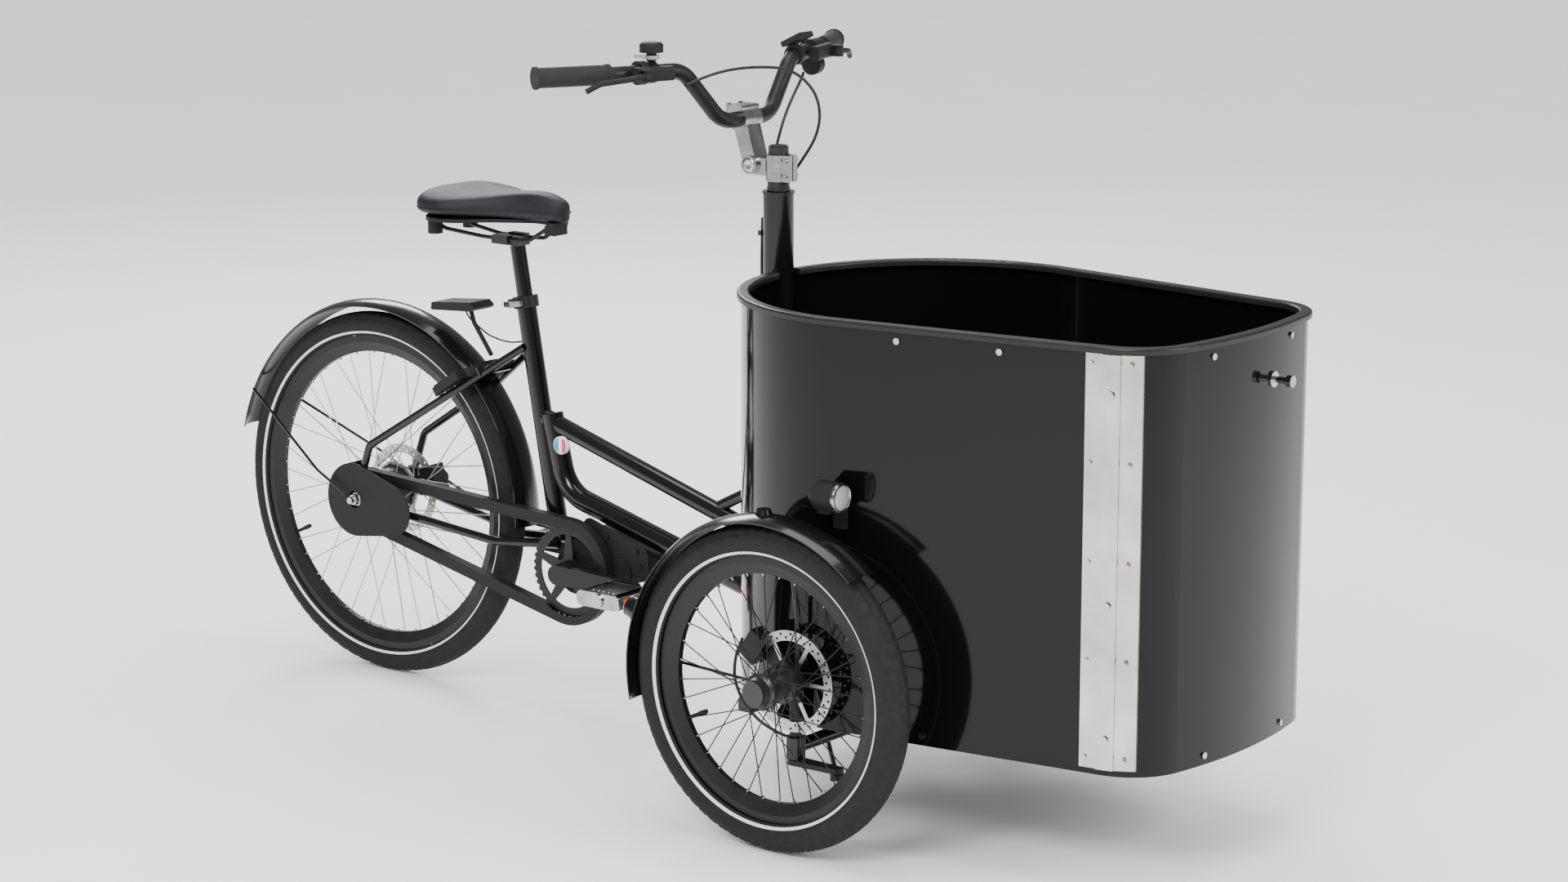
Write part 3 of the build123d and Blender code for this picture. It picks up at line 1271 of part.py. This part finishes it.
rear_hose = [(REAR_X + 392, 40, 300), (REAR_X + 346, 46, 304), (REAR_X + 300, 48, 305), (REAR_X + 254, 54, 311),
             (REAR_X + 208, 60, 313), (REAR_X + 162, 64, 322), (REAR_X + 124, 62, 338), (REAR_X + 100, 54, 352)]
light_wire = [(REAR_X + 196, 5, 680), (REAR_X + 203, 9, 664), (REAR_X + 222, 11, 652), (REAR_X + 246, 9, 640),
              (REAR_X + 270, 11, 634), (REAR_X + 296, 13, 631), (REAR_X + 322, 13, 636)]
with BuildPart() as frame_cables:
    for side, sign in SIDES.items():
        add(cord(down_column(sign, 905, 55, 12) + under_box(sign), HOSE_D, f"{side} column hose"))
        add(cord(to_caliper(sign), HOSE_D, f"{side} caliper hose"))
    add(cord(rear_hose, HOSE_D, "rear hose"))
    add(cord(light_wire, WIRE_D, "rear light wire"))
    # clip that holds the hoses to the column
    with Locations((COLUMN_X - COLUMN_OD / 2 - 4, 0, 880)):
        Box(7, 26, 8)
    with Locations((COLUMN_X, 0, 880)):
        Cylinder(COLUMN_OD / 2 + 0.1, 20, mode=Mode.SUBTRACT)
save(frame_cables.part, "frame_cables")

right_hose = [(COLUMN_X - 72, -146, 1128), (COLUMN_X - 60, -110, 1140), (COLUMN_X - 40, -72, 1149),
              (COLUMN_X - 12, -36, 1152), (COLUMN_X + 22, 2, 1148), (COLUMN_X + 46, 30, 1118),
              (COLUMN_X + 52, 44, 1078), (COLUMN_X + 42, 46, 1036), (COLUMN_X + 18, 38, 996),
              (COLUMN_X - 8, 30, 960), (COLUMN_X - 24, 20, 928)]
left_hose = [(COLUMN_X - 66, 150, 1122), (COLUMN_X - 40, 112, 1118), (COLUMN_X - 26, 72, 1096),
             (COLUMN_X - 24, 44, 1060), (COLUMN_X - 30, 34, 1020), (COLUMN_X - 36, 28, 980),
             (COLUMN_X - 36, 18, 944), (COLUMN_X - 33, 9, 916)]
with BuildPart() as bar_cables:
    add(cord(right_hose, HOSE_D, "right bar hose"))
    add(cord(left_hose, HOSE_D, "left bar hose"))
save(bar_cables.part, "bar_cables")


print("brake lever pivots", {side: tuple(round(v, 2) for v in LEVER_PIVOTS[sign]) for side, sign in SIDES.items()})
print("shift pivot", tuple(SHIFT_PIVOT), "axis", tuple(SHIFTER.z_dir), "bell", tuple(bell_base.origin))
print("collar lever", tuple(LEVER_PIVOT), "seat axis", tuple(seat_axis))
print("lock", tuple(lock_centre), "axis", tuple(lock_plane.z_dir))
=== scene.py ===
"""Cargo tricycle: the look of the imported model, in metres, in the model's own frame."""
import math

import bmesh
import bpy
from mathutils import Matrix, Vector


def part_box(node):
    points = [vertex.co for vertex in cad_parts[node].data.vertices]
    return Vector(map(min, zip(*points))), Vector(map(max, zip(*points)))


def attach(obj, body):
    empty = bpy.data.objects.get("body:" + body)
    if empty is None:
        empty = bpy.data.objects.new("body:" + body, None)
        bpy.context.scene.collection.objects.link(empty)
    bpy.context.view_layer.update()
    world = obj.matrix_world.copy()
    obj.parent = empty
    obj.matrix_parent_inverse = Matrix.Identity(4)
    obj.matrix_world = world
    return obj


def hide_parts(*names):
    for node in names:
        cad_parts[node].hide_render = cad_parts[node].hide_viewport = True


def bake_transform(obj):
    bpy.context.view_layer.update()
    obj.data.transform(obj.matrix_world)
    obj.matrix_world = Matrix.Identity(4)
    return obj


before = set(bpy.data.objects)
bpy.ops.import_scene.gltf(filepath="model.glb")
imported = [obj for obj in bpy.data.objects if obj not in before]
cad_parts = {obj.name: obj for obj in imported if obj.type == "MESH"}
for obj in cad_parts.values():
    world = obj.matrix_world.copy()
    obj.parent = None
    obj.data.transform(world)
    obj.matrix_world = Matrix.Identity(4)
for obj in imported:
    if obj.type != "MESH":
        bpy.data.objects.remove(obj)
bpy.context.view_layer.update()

# ---- driving dimensions, as in the CAD ----
REAR_X = -0.74142
REAR_R = 0.3275
FRONT_X = REAR_X + 1.182
FRONT_R = 0.256
TRACK_Y = 0.384
COLUMN_X = REAR_X + 0.895
LAMP = (REAR_X + 1.262, 0.345, 0.560)
GUARD_R = 0.271
LAMP_ANGLE = math.radians(163)
CRANK_AXLE = (REAR_X + 0.480, 0.2645)
CRANK = 0.170
PEDAL_Y = 0.133                                  # middle of each pedal
STUD_Y = PEDAL_Y + 0.024                         # row of studs near its outer end
BAR_Z = 1.062                                    # bar's axis in the stem clamp
STEM_FACE_X = COLUMN_X - 0.0915
STEM_PIVOT = (COLUMN_X - 0.046, 0.0199, 0.990)
HOSE_D = 0.005
PATCH = (REAR_X + 0.436, -0.0195, 0.473)
SPOKES = 36
VALVE_ANGLE = math.radians(205)
SIDES = {"right": -1, "left": 1}


# ---- materials ----
def surface(name, colour, rough=0.4, metal=0.0, coat=0.0, grain=60.0, mottle=0.12, bump=0.05,
            bump_scale=400.0, rough_span=0.12, specular=0.5):
    """Principled material whose colour, roughness and relief vary a little over the surface."""
    mat = bpy.data.materials.new(name)
    mat.use_nodes = True
    nodes, links = mat.node_tree.nodes, mat.node_tree.links
    shader = nodes["Principled BSDF"]
    shader.inputs["Metallic"].default_value = metal
    shader.inputs["Coat Weight"].default_value = coat
    shader.inputs["Coat Roughness"].default_value = 0.04
    shader.inputs["Specular IOR Level"].default_value = specular
    place = nodes.new("ShaderNodeTexCoord")
    wide = nodes.new("ShaderNodeTexNoise")
    wide.inputs["Scale"].default_value = grain
    wide.inputs["Detail"].default_value = 6.0
    links.new(place.outputs["Object"], wide.inputs["Vector"])
    ramp = nodes.new("ShaderNodeValToRGB")
    ramp.color_ramp.elements[0].position = 0.3
    ramp.color_ramp.elements[1].position = 0.7
    ramp.color_ramp.elements[0].color = [c * (1 - mottle) for c in colour] + [1]
    ramp.color_ramp.elements[1].color = [min(1, c * (1 + mottle)) for c in colour] + [1]
    links.new(wide.outputs["Fac"], ramp.inputs["Fac"])
    links.new(ramp.outputs["Color"], shader.inputs["Base Color"])
    spread = nodes.new("ShaderNodeMapRange")
    spread.inputs["To Min"].default_value = max(0.02, rough - rough_span / 2)
    spread.inputs["To Max"].default_value = min(1, rough + rough_span / 2)
    links.new(wide.outputs["Fac"], spread.inputs["Value"])
    links.new(spread.outputs["Result"], shader.inputs["Roughness"])
    fine = nodes.new("ShaderNodeTexNoise")
    fine.inputs["Scale"].default_value = bump_scale
    links.new(place.outputs["Object"], fine.inputs["Vector"])
    relief = nodes.new("ShaderNodeBump")
    relief.inputs["Strength"].default_value = bump
    relief.inputs["Distance"].default_value = 0.001
    links.new(fine.outputs["Fac"], relief.inputs["Height"])
    links.new(relief.outputs["Normal"], shader.inputs["Normal"])
    return mat


def disc_on_black(name, axle_x, axle_z, radius):
    """Black shell inside radius of a wheel's axle, and bright brake disc outside it."""
    mat = surface(name, (0.016, 0.016, 0.017), 0.36, grain=40, bump=0.06, bump_scale=900)
    nodes, links = mat.node_tree.nodes, mat.node_tree.links
    shader = nodes["Principled BSDF"]
    place = nodes.new("ShaderNodeTexCoord")
    parts = nodes.new("ShaderNodeSeparateXYZ")
    links.new(place.outputs["Object"], parts.inputs["Vector"])
    flat = nodes.new("ShaderNodeCombineXYZ")
    links.new(parts.outputs["X"], flat.inputs["X"])
    links.new(parts.outputs["Z"], flat.inputs["Z"])
    away = nodes.new("ShaderNodeVectorMath")
    away.operation = "DISTANCE"
    away.inputs[1].default_value = (axle_x, 0, axle_z)
    links.new(flat.outputs["Vector"], away.inputs[0])
    outside = nodes.new("ShaderNodeMath")
    outside.operation = "GREATER_THAN"
    outside.inputs[1].default_value = radius
    links.new(away.outputs["Value"], outside.inputs[0])
    blend = nodes.new("ShaderNodeMix")
    blend.data_type = "RGBA"
    links.new(outside.outputs["Value"], blend.inputs["Factor"])
    links.new(shader.inputs["Base Color"].links[0].from_socket, blend.inputs[6])
    blend.inputs[7].default_value = (0.55, 0.53, 0.50, 1)
    links.new(blend.outputs[2], shader.inputs["Base Color"])
    links.new(outside.outputs["Value"], shader.inputs["Metallic"])
    return mat


PAINT = surface("gloss_paint", (0.004, 0.004, 0.0045), 0.2, coat=0.35, grain=8, bump=0.02, bump_scale=90,
                specular=0.3)
SHEET = surface("gloss_sheet", (0.0028, 0.0028, 0.0032), 0.10, coat=0.16, grain=4, bump=0.02, bump_scale=14,
                rough_span=0.04, specular=0.16)
GUARD = surface("guard_plastic", (0.005, 0.005, 0.005), 0.22, coat=0.25, grain=14, bump=0.03, bump_scale=60,
                specular=0.25)
SATIN = surface("satin_black", (0.009, 0.009, 0.010), 0.42, grain=40, bump=0.06, bump_scale=900, specular=0.3)
EDGE = surface("rim_edging", (0.012, 0.012, 0.013), 0.36, grain=30, bump=0.05, bump_scale=500, specular=0.35)
MATTE = surface("matte_plastic", (0.009, 0.009, 0.009), 0.62, grain=60, bump=0.22, bump_scale=1400,
                specular=0.3)
RUBBER = surface("tyre_rubber", (0.010, 0.010, 0.010), 0.78, grain=90, bump=0.25, bump_scale=1200, mottle=0.3,
                 specular=0.3)
GRIP = surface("grip_rubber", (0.016, 0.016, 0.018), 0.72, grain=120, bump=0.5, bump_scale=1500, specular=0.3)
VINYL = surface("saddle_vinyl", (0.006, 0.0075, 0.011), 0.55, grain=70, bump=0.45, bump_scale=750, mottle=0.2,
                specular=0.35)
CABLE = surface("cable_sheath", (0.008, 0.008, 0.008), 0.45, grain=80, bump=0.08, bump_scale=800)
STEEL = surface("brushed_steel", (0.52, 0.51, 0.49), 0.30, metal=1.0, grain=22, bump=0.06, bump_scale=600)
WAVY = surface("mirror_strip", (0.56, 0.54, 0.50), 0.13, metal=1.0, grain=9, mottle=0.28, bump=0.5,
               bump_scale=16)
BRIGHT = surface("polished_alloy", (0.36, 0.36, 0.36), 0.22, metal=1.0, grain=30, mottle=0.25, bump=0.2,
                 bump_scale=120)
CHROME = surface("pedal_cage", (0.42, 0.42, 0.42), 0.16, metal=1.0, grain=26, mottle=0.3, bump=0.3,
                 bump_scale=90)
CHAIN = surface("chain_steel", (0.12, 0.115, 0.11), 0.36, metal=1.0, grain=90, bump=0.15, bump_scale=900)
DARK = surface("dark_alloy", (0.030, 0.030, 0.032), 0.40, metal=0.6, grain=30, bump=0.12, bump_scale=900)
STRIPE = surface("reflex_stripe", (0.66, 0.67, 0.66), 0.42, grain=300, bump=0.1, bump_scale=2000)
RED = surface("red_lens", (0.52, 0.010, 0.010), 0.12, coat=1.0, grain=200, bump=0.35, bump_scale=420)
AMBER = surface("amber_lens", (0.85, 0.20, 0.01), 0.14, coat=1.0, grain=200, bump=0.4, bump_scale=520)
LENS = surface("clear_lens", (0.35, 0.36, 0.37), 0.06, coat=1.0, grain=30, bump=0.3, bump_scale=220)
CYAN = surface("patch_cyan", (0.02, 0.42, 0.62), 0.3, coat=0.5, grain=100)
WHITE = surface("patch_white", (0.80, 0.80, 0.80), 0.3, coat=0.5, grain=100)
FLOOR = surface("pale_floor", (0.90, 0.90, 0.90), 0.8, grain=3, bump=0.02, mottle=0.01)
FRONT_HUB = disc_on_black("right_hub_finish", FRONT_X, FRONT_R, 0.036)
REAR_HUB = disc_on_black("rear_hub_finish", REAR_X, REAR_R, 0.046)

CAD_FINISH = {
    PAINT: "seat_tube main_tubes rear_stays steering_column underframe seat_post",
    SHEET: "box_panel",
    EDGE: "box_rim",
    GUARD: "rear_mudguard left_mudguard right_mudguard",
    SATIN: "handlebar left_rim right_rim rear_rim left_spokes right_spokes crank_arms seat_collar "
           "left_upright right_upright box_floor left_tie_rod right_tie_rod saddle_rails chainring",
    MATTE: "chain_case saddle_shell bar_controls bell left_brake_lever right_brake_lever shift_lever "
           "ring_lock headlamps rear_light drive_unit rear_caliper",
    STEEL: "rear_spokes rear_axle bell_lever",
    WAVY: "box_fittings",
    BRIGHT: "stem collar_lever",
    CHROME: "left_pedal right_pedal",
    FRONT_HUB: "left_hub right_hub",
    REAR_HUB: "rear_hub",
    CHAIN: "chain rear_sprocket lock_shackle",
    DARK: "steerer",
    GRIP: "grips",
    CABLE: "frame_cables",
}
for finish, names in CAD_FINISH.items():
    for name in names.split():
        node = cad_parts[name]
        if not node.data.materials:
            node.data.materials.append(finish)
        for place in range(len(node.material_slots)):
            node.material_slots[place].material = finish


# ---- mesh helpers ----
def piece(name, mesh, finish, body, levels=0, smooth=True):
    """Object for a mesh, with its finish, riding on a body unless body is None."""
    obj = bpy.data.objects.new(name, mesh)
    bpy.context.scene.collection.objects.link(obj)
    mesh.materials.append(finish)
    if smooth:
        for face in mesh.polygons:
            face.use_smooth = True
    if levels:
        modifier = obj.modifiers.new("subdivision", "SUBSURF")
        modifier.levels = levels
        modifier.render_levels = levels
    if body:
        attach(obj, body)
    return obj


def ring_mesh(name, rings, caps=False):
    """Quads between rings of points; every ring closes on itself."""
    mesh = bpy.data.meshes.new(name)
    work = bmesh.new()
    rows = [[work.verts.new(point) for point in ring] for ring in rings]
    for low, high in zip(rows, rows[1:]):
        count = len(low)
        for i in range(count):
            j = (i + 1) % count
            work.faces.new((low[i], low[j], high[j], high[i]))
    if caps:
        work.faces.new(list(reversed(rows[0])))
        work.faces.new(rows[-1])
    bmesh.ops.recalc_face_normals(work, faces=work.faces)
    work.to_mesh(mesh)
    work.free()
    return mesh


def lathe(name, origin, axis, profile, finish, body, segments=64, caps=False, lift=None):
    """Profile of (radius, height) turned about axis; lift may add to a point's radius."""
    turn = Vector(axis).to_track_quat("Z", "Y")
    rings = []
    for row, (radius, height) in enumerate(profile):
        ring = []
        for i in range(segments):
            angle = 2 * math.pi * i / segments
            r = radius + (lift(row, i) if lift else 0)
            ring.append(Vector(origin) + turn @ Vector((r * math.cos(angle), r * math.sin(angle), height)))
        rings.append(ring)
    return piece(name, ring_mesh(name, rings, caps=caps), finish, body)


def block(name, centre, size, finish, body, bevel=0.002, turn=0.0):
    """Box with rounded edges, turned about Y."""
    mesh = bpy.data.meshes.new(name)
    work = bmesh.new()
    bmesh.ops.create_cube(work, size=1)
    bmesh.ops.scale(work, vec=size, verts=work.verts)
    bmesh.ops.bevel(work, geom=work.edges[:], offset=bevel, segments=3, affect="EDGES")
    for vert in work.verts:
        x, z = vert.co.x, vert.co.z
        vert.co.x = x * math.cos(turn) + z * math.sin(turn)
        vert.co.z = z * math.cos(turn) - x * math.sin(turn)
    bmesh.ops.translate(work, vec=centre, verts=work.verts)
    work.to_mesh(mesh)
    work.free()
    return piece(name, mesh, finish, body, smooth=False)


def hose(name, points, diameter):
    """Mesh of a round hose along one smooth line through the route."""
    curve = bpy.data.curves.new(name, "CURVE")
    curve.dimensions = "3D"
    curve.bevel_depth = diameter / 2
    curve.bevel_resolution = 4
    curve.resolution_u = 8
    spline = curve.splines.new("NURBS")
    spline.points.add(len(points) - 1)
    for spot, point in zip(spline.points, points):
        spot.co = (*point, 1)
    spline.order_u = 3
    spline.use_endpoint_u = True
    holder = bpy.data.objects.new(name + "_curve", curve)
    bpy.context.scene.collection.objects.link(holder)
    bpy.context.view_layer.update()
    mesh = bpy.data.meshes.new_from_object(holder.evaluated_get(bpy.context.evaluated_depsgraph_get()))
    bpy.data.objects.remove(holder)
    mesh.materials.clear()
    return mesh


# ---- wheels ----
def wheel_looks(label, centre, width, rim_radius, stripe_radius, nipple):
    """Treaded tyre with its pale stripes, spoke nipples and a valve; centre's height is the tyre's radius."""
    body = f"{label}_wheel"
    radius = centre[2]
    half = width / 2
    middle = radius - half

    def section(degrees, grow=0.0):
        angle = math.radians(degrees)
        return middle + (half + grow) * math.cos(angle), (half + grow) * math.sin(angle)

    spread = [-140 + 8 * k for k in range(36)]
    profile = [section(d, -0.0016 if abs(d) < 62 else 0) for d in spread]

    def tread(row, i):
        across = abs(spread[row])
        if across > 56:
            return 0
        blocks = (i + (2 if spread[row] > 0 else 0) + int(across / 12)) % 5
        groove = 16 < across < 26
        return -0.0006 if blocks == 0 or groove else 0.0015

    cover = lathe(f"{label}_tyre_tread", centre, (0, 1, 0), profile, RUBBER, body, segments=360, lift=tread)
    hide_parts(f"{label}_tyre")
    lean = math.degrees(math.acos((stripe_radius - middle) / half))
    for sign in (-1, 1):
        band = [section(sign * (lean + step), 0.0004) for step in (-5.5, -2, 2, 5.5)]
        lathe(f"{label}_stripe_{'near' if sign < 0 else 'far'}", centre, (0, 1, 0), band, STRIPE, body,
              segments=180)
    for i in range(SPOKES):
        angle = math.radians(360 / SPOKES * i + 5)
        out = Vector((math.cos(angle), 0, math.sin(angle)))
        start = Vector(centre) + out * (rim_radius - 0.013)
        lathe(f"{label}_nipple_{i:02d}", start, out,
              [(0.0012, 0), (0.0021, 0.002), (0.0021, 0.010), (0.0018, 0.014)], nipple, body, segments=8)
    out = Vector((math.cos(VALVE_ANGLE), 0, math.sin(VALVE_ANGLE)))
    stem = Vector(centre) + out * (rim_radius - 0.048)
    lathe(f"{label}_valve", stem, out,
          [(0.0, 0), (0.0035, 0.0005), (0.0042, 0.003), (0.0042, 0.016), (0.0032, 0.017), (0.0032, 0.046)],
          MATTE, body, segments=16)


wheel_looks("rear", (REAR_X, 0, REAR_R), width=0.047, rim_radius=0.2635, stripe_radius=0.292, nipple=STEEL)
for side, sign in SIDES.items():
    wheel_looks(side, (FRONT_X, sign * TRACK_Y, FRONT_R), width=0.054, rim_radius=0.187, stripe_radius=0.214,
                nipple=BRIGHT)


# ---- saddle ----
low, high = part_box("saddle_cover")
STATIONS = ((0.0, 0.10), (0.02, 0.60), (0.09, 0.88), (0.2, 0.995), (0.33, 0.96), (0.46, 0.68), (0.58, 0.42),
            (0.70, 0.30), (0.82, 0.255), (0.92, 0.22), (0.975, 0.15), (1.0, 0.04))
half_width = (high[1] - low[1]) / 2
length = high[0] - low[0]
rings = []
for along, share in STATIONS:
    x = low[0] + along * length
    w = half_width * share
    crest = high[2] - 0.010 * math.sin(math.pi * min(1, along / 0.8)) ** 2
    crest -= 0.018 * max(0, along - 0.86) / 0.14
    crest -= 0.022 * max(0, 0.06 - along) / 0.06
    middle = low[2] + 0.020
    ring = []
    for i in range(32):
        angle = 2 * math.pi * i / 32
        c, s = math.cos(angle), math.sin(angle)
        y = w * math.copysign(abs(c) ** 0.72, c)
        rise = (crest - middle) * abs(s) ** 0.85 if s > 0 else -(middle - low[2]) * abs(s) ** 0.6
        dip = 0.004 * math.exp(-(y / 0.012) ** 2) * (1 if s > 0 else 0) * math.sin(math.pi * along)
        ring.append((x, y, middle + rise - dip))
    rings.append(ring)
saddle = piece("saddle_pad", ring_mesh("saddle_pad", rings, caps=True), VINYL, "seat", levels=2)
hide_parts("saddle_cover")
for side, place in (("left", 0), ("right", 16)):
    route = [(x * 0.999, y * 0.992, z - 0.004) for x, y, z in (ring[place] for ring in rings[1:-1])]
    piece(f"saddle_{side}_piping", hose(f"saddle_{side}_piping", route, 0.003), MATTE, "seat")

# ---- lamps and reflectors ----
lamp_dir = Vector((math.cos(LAMP_ANGLE), 0, math.sin(LAMP_ANGLE)))
for side, sign in SIDES.items():
    front = (LAMP[0] + 0.0222, sign * LAMP[1], LAMP[2])
    lathe(f"{side}_headlamp_bezel", front, (1, 0, 0),
          [(0.0228, -0.004), (0.0235, 0.0), (0.0225, 0.003), (0.0195, 0.0035), (0.019, 0.001)],
          BRIGHT, "frame")
    lathe(f"{side}_headlamp_lens", front, (1, 0, 0),
          [(0.0191, 0.0012), (0.015, 0.0035), (0.009, 0.0050), (0.004, 0.0056), (0.0005, 0.0058)],
          LENS, "frame")
    centre = Vector((FRONT_X, sign * TRACK_Y, FRONT_R))
    seat = centre + lamp_dir * (GUARD_R + 0.0201)
    lathe(f"{side}_rear_lamp_lens", seat, lamp_dir,
          [(0.0162, -0.001), (0.0165, 0.002), (0.014, 0.0045), (0.0095, 0.0062), (0.005, 0.0070),
           (0.0005, 0.0073)],
          RED, f"{side}_upright", segments=48)
    lathe(f"{side}_rear_lamp_ring", seat, lamp_dir, [(0.0172, -0.004), (0.0176, 0.0005), (0.0166, 0.0012)],
          GUARD, f"{side}_upright", segments=48)
    # amber reflectors on the front and back of each pedal, and studs on its cage
    x = CRANK_AXLE[0] - sign * CRANK
    y = sign * PEDAL_Y
    for end in (-1, 1):
        block(f"{side}_pedal_reflector_{'back' if end < 0 else 'front'}",
              (x + end * 0.0465, y, CRANK_AXLE[1]),
              (0.004, 0.046, 0.012), AMBER, f"{side}_pedal", bevel=0.001)
    for rail in (-1, 1):
        for row in range(-2, 3):
            lathe(f"{side}_pedal_stud_{'up' if rail > 0 else 'down'}_{row + 2}",
                  (x + row * 0.011, sign * STUD_Y, CRANK_AXLE[1] + rail * 0.0120), (0, 0, rail),
                  [(0.0022, -0.001), (0.0022, 0.0012), (0.0004, 0.0018)],
                  CHROME, f"{side}_pedal", segments=12)
block("rear_light_lens", (REAR_X + 0.1445, 0, 0.6855), (0.006, 0.047, 0.011), RED, "frame", bevel=0.0015,
      turn=-0.2)

# ---- plain three-colour patch on the side of the frame's tube ----
for name, radius, lift, finish in (("patch_rim", 0.0155, 0.0, WHITE), ("patch_field", 0.0135, 0.0003, CYAN)):
    lathe(name, (PATCH[0], PATCH[1] - lift, PATCH[2]), (0, -1, 0),
          [(radius, -0.006), (radius, 0.0004), (0.0004, 0.0005)], finish, "frame", segments=48)
for name, across, height, finish in (("patch_bar_white", 0.0, 0.0262, WHITE),
                                     ("patch_bar_red", 0.0075, 0.0226, RED)):
    block(name, (PATCH[0] + across, PATCH[1] - 0.0008, PATCH[2]), (0.007, 0.0006, height), finish, "frame",
          bevel=0.0002)

# ---- hoses between the bar and the column ----
RIGHT_HOSE = [(COLUMN_X - 0.072, -0.146, 1.128), (COLUMN_X - 0.060, -0.110, 1.140),
              (COLUMN_X - 0.040, -0.072, 1.149), (COLUMN_X - 0.012, -0.036, 1.152),
              (COLUMN_X + 0.022, 0.002, 1.148), (COLUMN_X + 0.046, 0.030, 1.118),
              (COLUMN_X + 0.052, 0.044, 1.078), (COLUMN_X + 0.042, 0.046, 1.036),
              (COLUMN_X + 0.018, 0.038, 0.996), (COLUMN_X - 0.008, 0.030, 0.960),
              (COLUMN_X - 0.024, 0.020, 0.928)]
LEFT_HOSE = [(COLUMN_X - 0.066, 0.150, 1.122), (COLUMN_X - 0.040, 0.112, 1.118),
             (COLUMN_X - 0.026, 0.072, 1.096), (COLUMN_X - 0.024, 0.044, 1.060),
             (COLUMN_X - 0.030, 0.034, 1.020), (COLUMN_X - 0.036, 0.028, 0.980),
             (COLUMN_X - 0.036, 0.018, 0.944), (COLUMN_X - 0.033, 0.009, 0.916)]
for side, route in (("right", RIGHT_HOSE), ("left", LEFT_HOSE)):
    line = piece(f"{side}_bar_hose", hose(f"{side}_bar_hose", route, HOSE_D), CABLE, None)
    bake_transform(line)
    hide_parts("bar_cables")

# ---- ring round the bell's cap ----
low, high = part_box("bell")
lathe("bell_rim", ((low[0] + high[0]) / 2, (low[1] + high[1]) / 2, high[2] - 0.004), (0, 0, 1),
      [(0.012, 0.0), (0.0145, 0.0010), (0.0145, 0.0028), (0.012, 0.0042)], DARK, "steering", segments=48)

# ---- bolt heads on the stem's face and its pivot ----
for side, sign in SIDES.items():
    for height in (-0.004, 0.022):
        lathe(f"stem_bolt_{side}_{'high' if height > 0 else 'low'}",
              (STEM_FACE_X, sign * 0.015, BAR_Z + height), (-1, 0, 0),
              [(0.0030, -0.004), (0.0030, 0.0012), (0.0018, 0.0018), (0.0016, 0.0004), (0.0002, 0.0004)],
              DARK, "steering", segments=20)
    lathe(f"stem_pivot_cap_{side}", (STEM_PIVOT[0], sign * STEM_PIVOT[1], STEM_PIVOT[2]), (0, sign, 0),
          [(0.0125, 0.0), (0.0125, 0.0008), (0.0060, 0.0016), (0.0045, 0.0004), (0.0003, 0.0003)],
          STEEL, "steering", segments=32)

# ---- floor, light and camera ----
bpy.ops.mesh.primitive_plane_add(size=40, location=(0, 0, -0.0005))
floor = bpy.context.object
floor.name = "floor"
floor.data.materials.append(FLOOR)


def soft_light(name, place, target, size, power):
    """Rectangular lamp at a place, turned to face its target."""
    light = bpy.data.lights.new(name, "AREA")
    light.shape = "RECTANGLE"
    light.size, light.size_y = size
    light.energy = power
    obj = bpy.data.objects.new(name, light)
    obj.location = place
    obj.rotation_euler = (Vector(target) - Vector(place)).to_track_quat("-Z", "Y").to_euler()
    bpy.context.scene.collection.objects.link(obj)


soft_light("key", (1.5, -4.5, 4.2), (0, 0, 0.5), (2.6, 1.6), 240)
soft_light("fill", (5.0, 1.0, 3.0), (0.3, 0, 0.5), (2.0, 2.0), 150)
soft_light("back", (-3.8, 3.0, 3.4), (0, 0, 0.6), (2.0, 1.4), 150)
soft_light("top", (0, 0, 5.0), (0, 0, 0), (3.0, 2.4), 120)

# the world lights the scene brightly but shows dimmer in reflections, so that glossy black stays black
world = bpy.data.worlds.new("studio")
world.use_nodes = True
sky = world.node_tree
rays = sky.nodes.new("ShaderNodeLightPath")
bright = sky.nodes["Background"]
bright.inputs["Color"].default_value = (0.96, 0.965, 0.97, 1)
bright.inputs["Strength"].default_value = 1.45
dim = sky.nodes.new("ShaderNodeBackground")
dim.inputs["Color"].default_value = (0.30, 0.30, 0.31, 1)
either = sky.nodes.new("ShaderNodeMixShader")
sky.links.new(rays.outputs["Is Glossy Ray"], either.inputs["Fac"])
sky.links.new(bright.outputs["Background"], either.inputs[1])
sky.links.new(dim.outputs["Background"], either.inputs[2])
sky.links.new(either.outputs["Shader"], sky.nodes["World Output"].inputs["Surface"])
bpy.context.scene.world = world

camera = bpy.data.cameras.new("camera")
camera.lens = 83.13
camera.sensor_width = 36
view = bpy.data.objects.new("camera", camera)
view.location = (4.4669 + REAR_X, -4.5475, 1.7722)
view.rotation_euler = (math.radians(90 - 12.048), 0, math.radians(38.062))
bpy.context.scene.collection.objects.link(view)
bpy.context.scene.camera = view
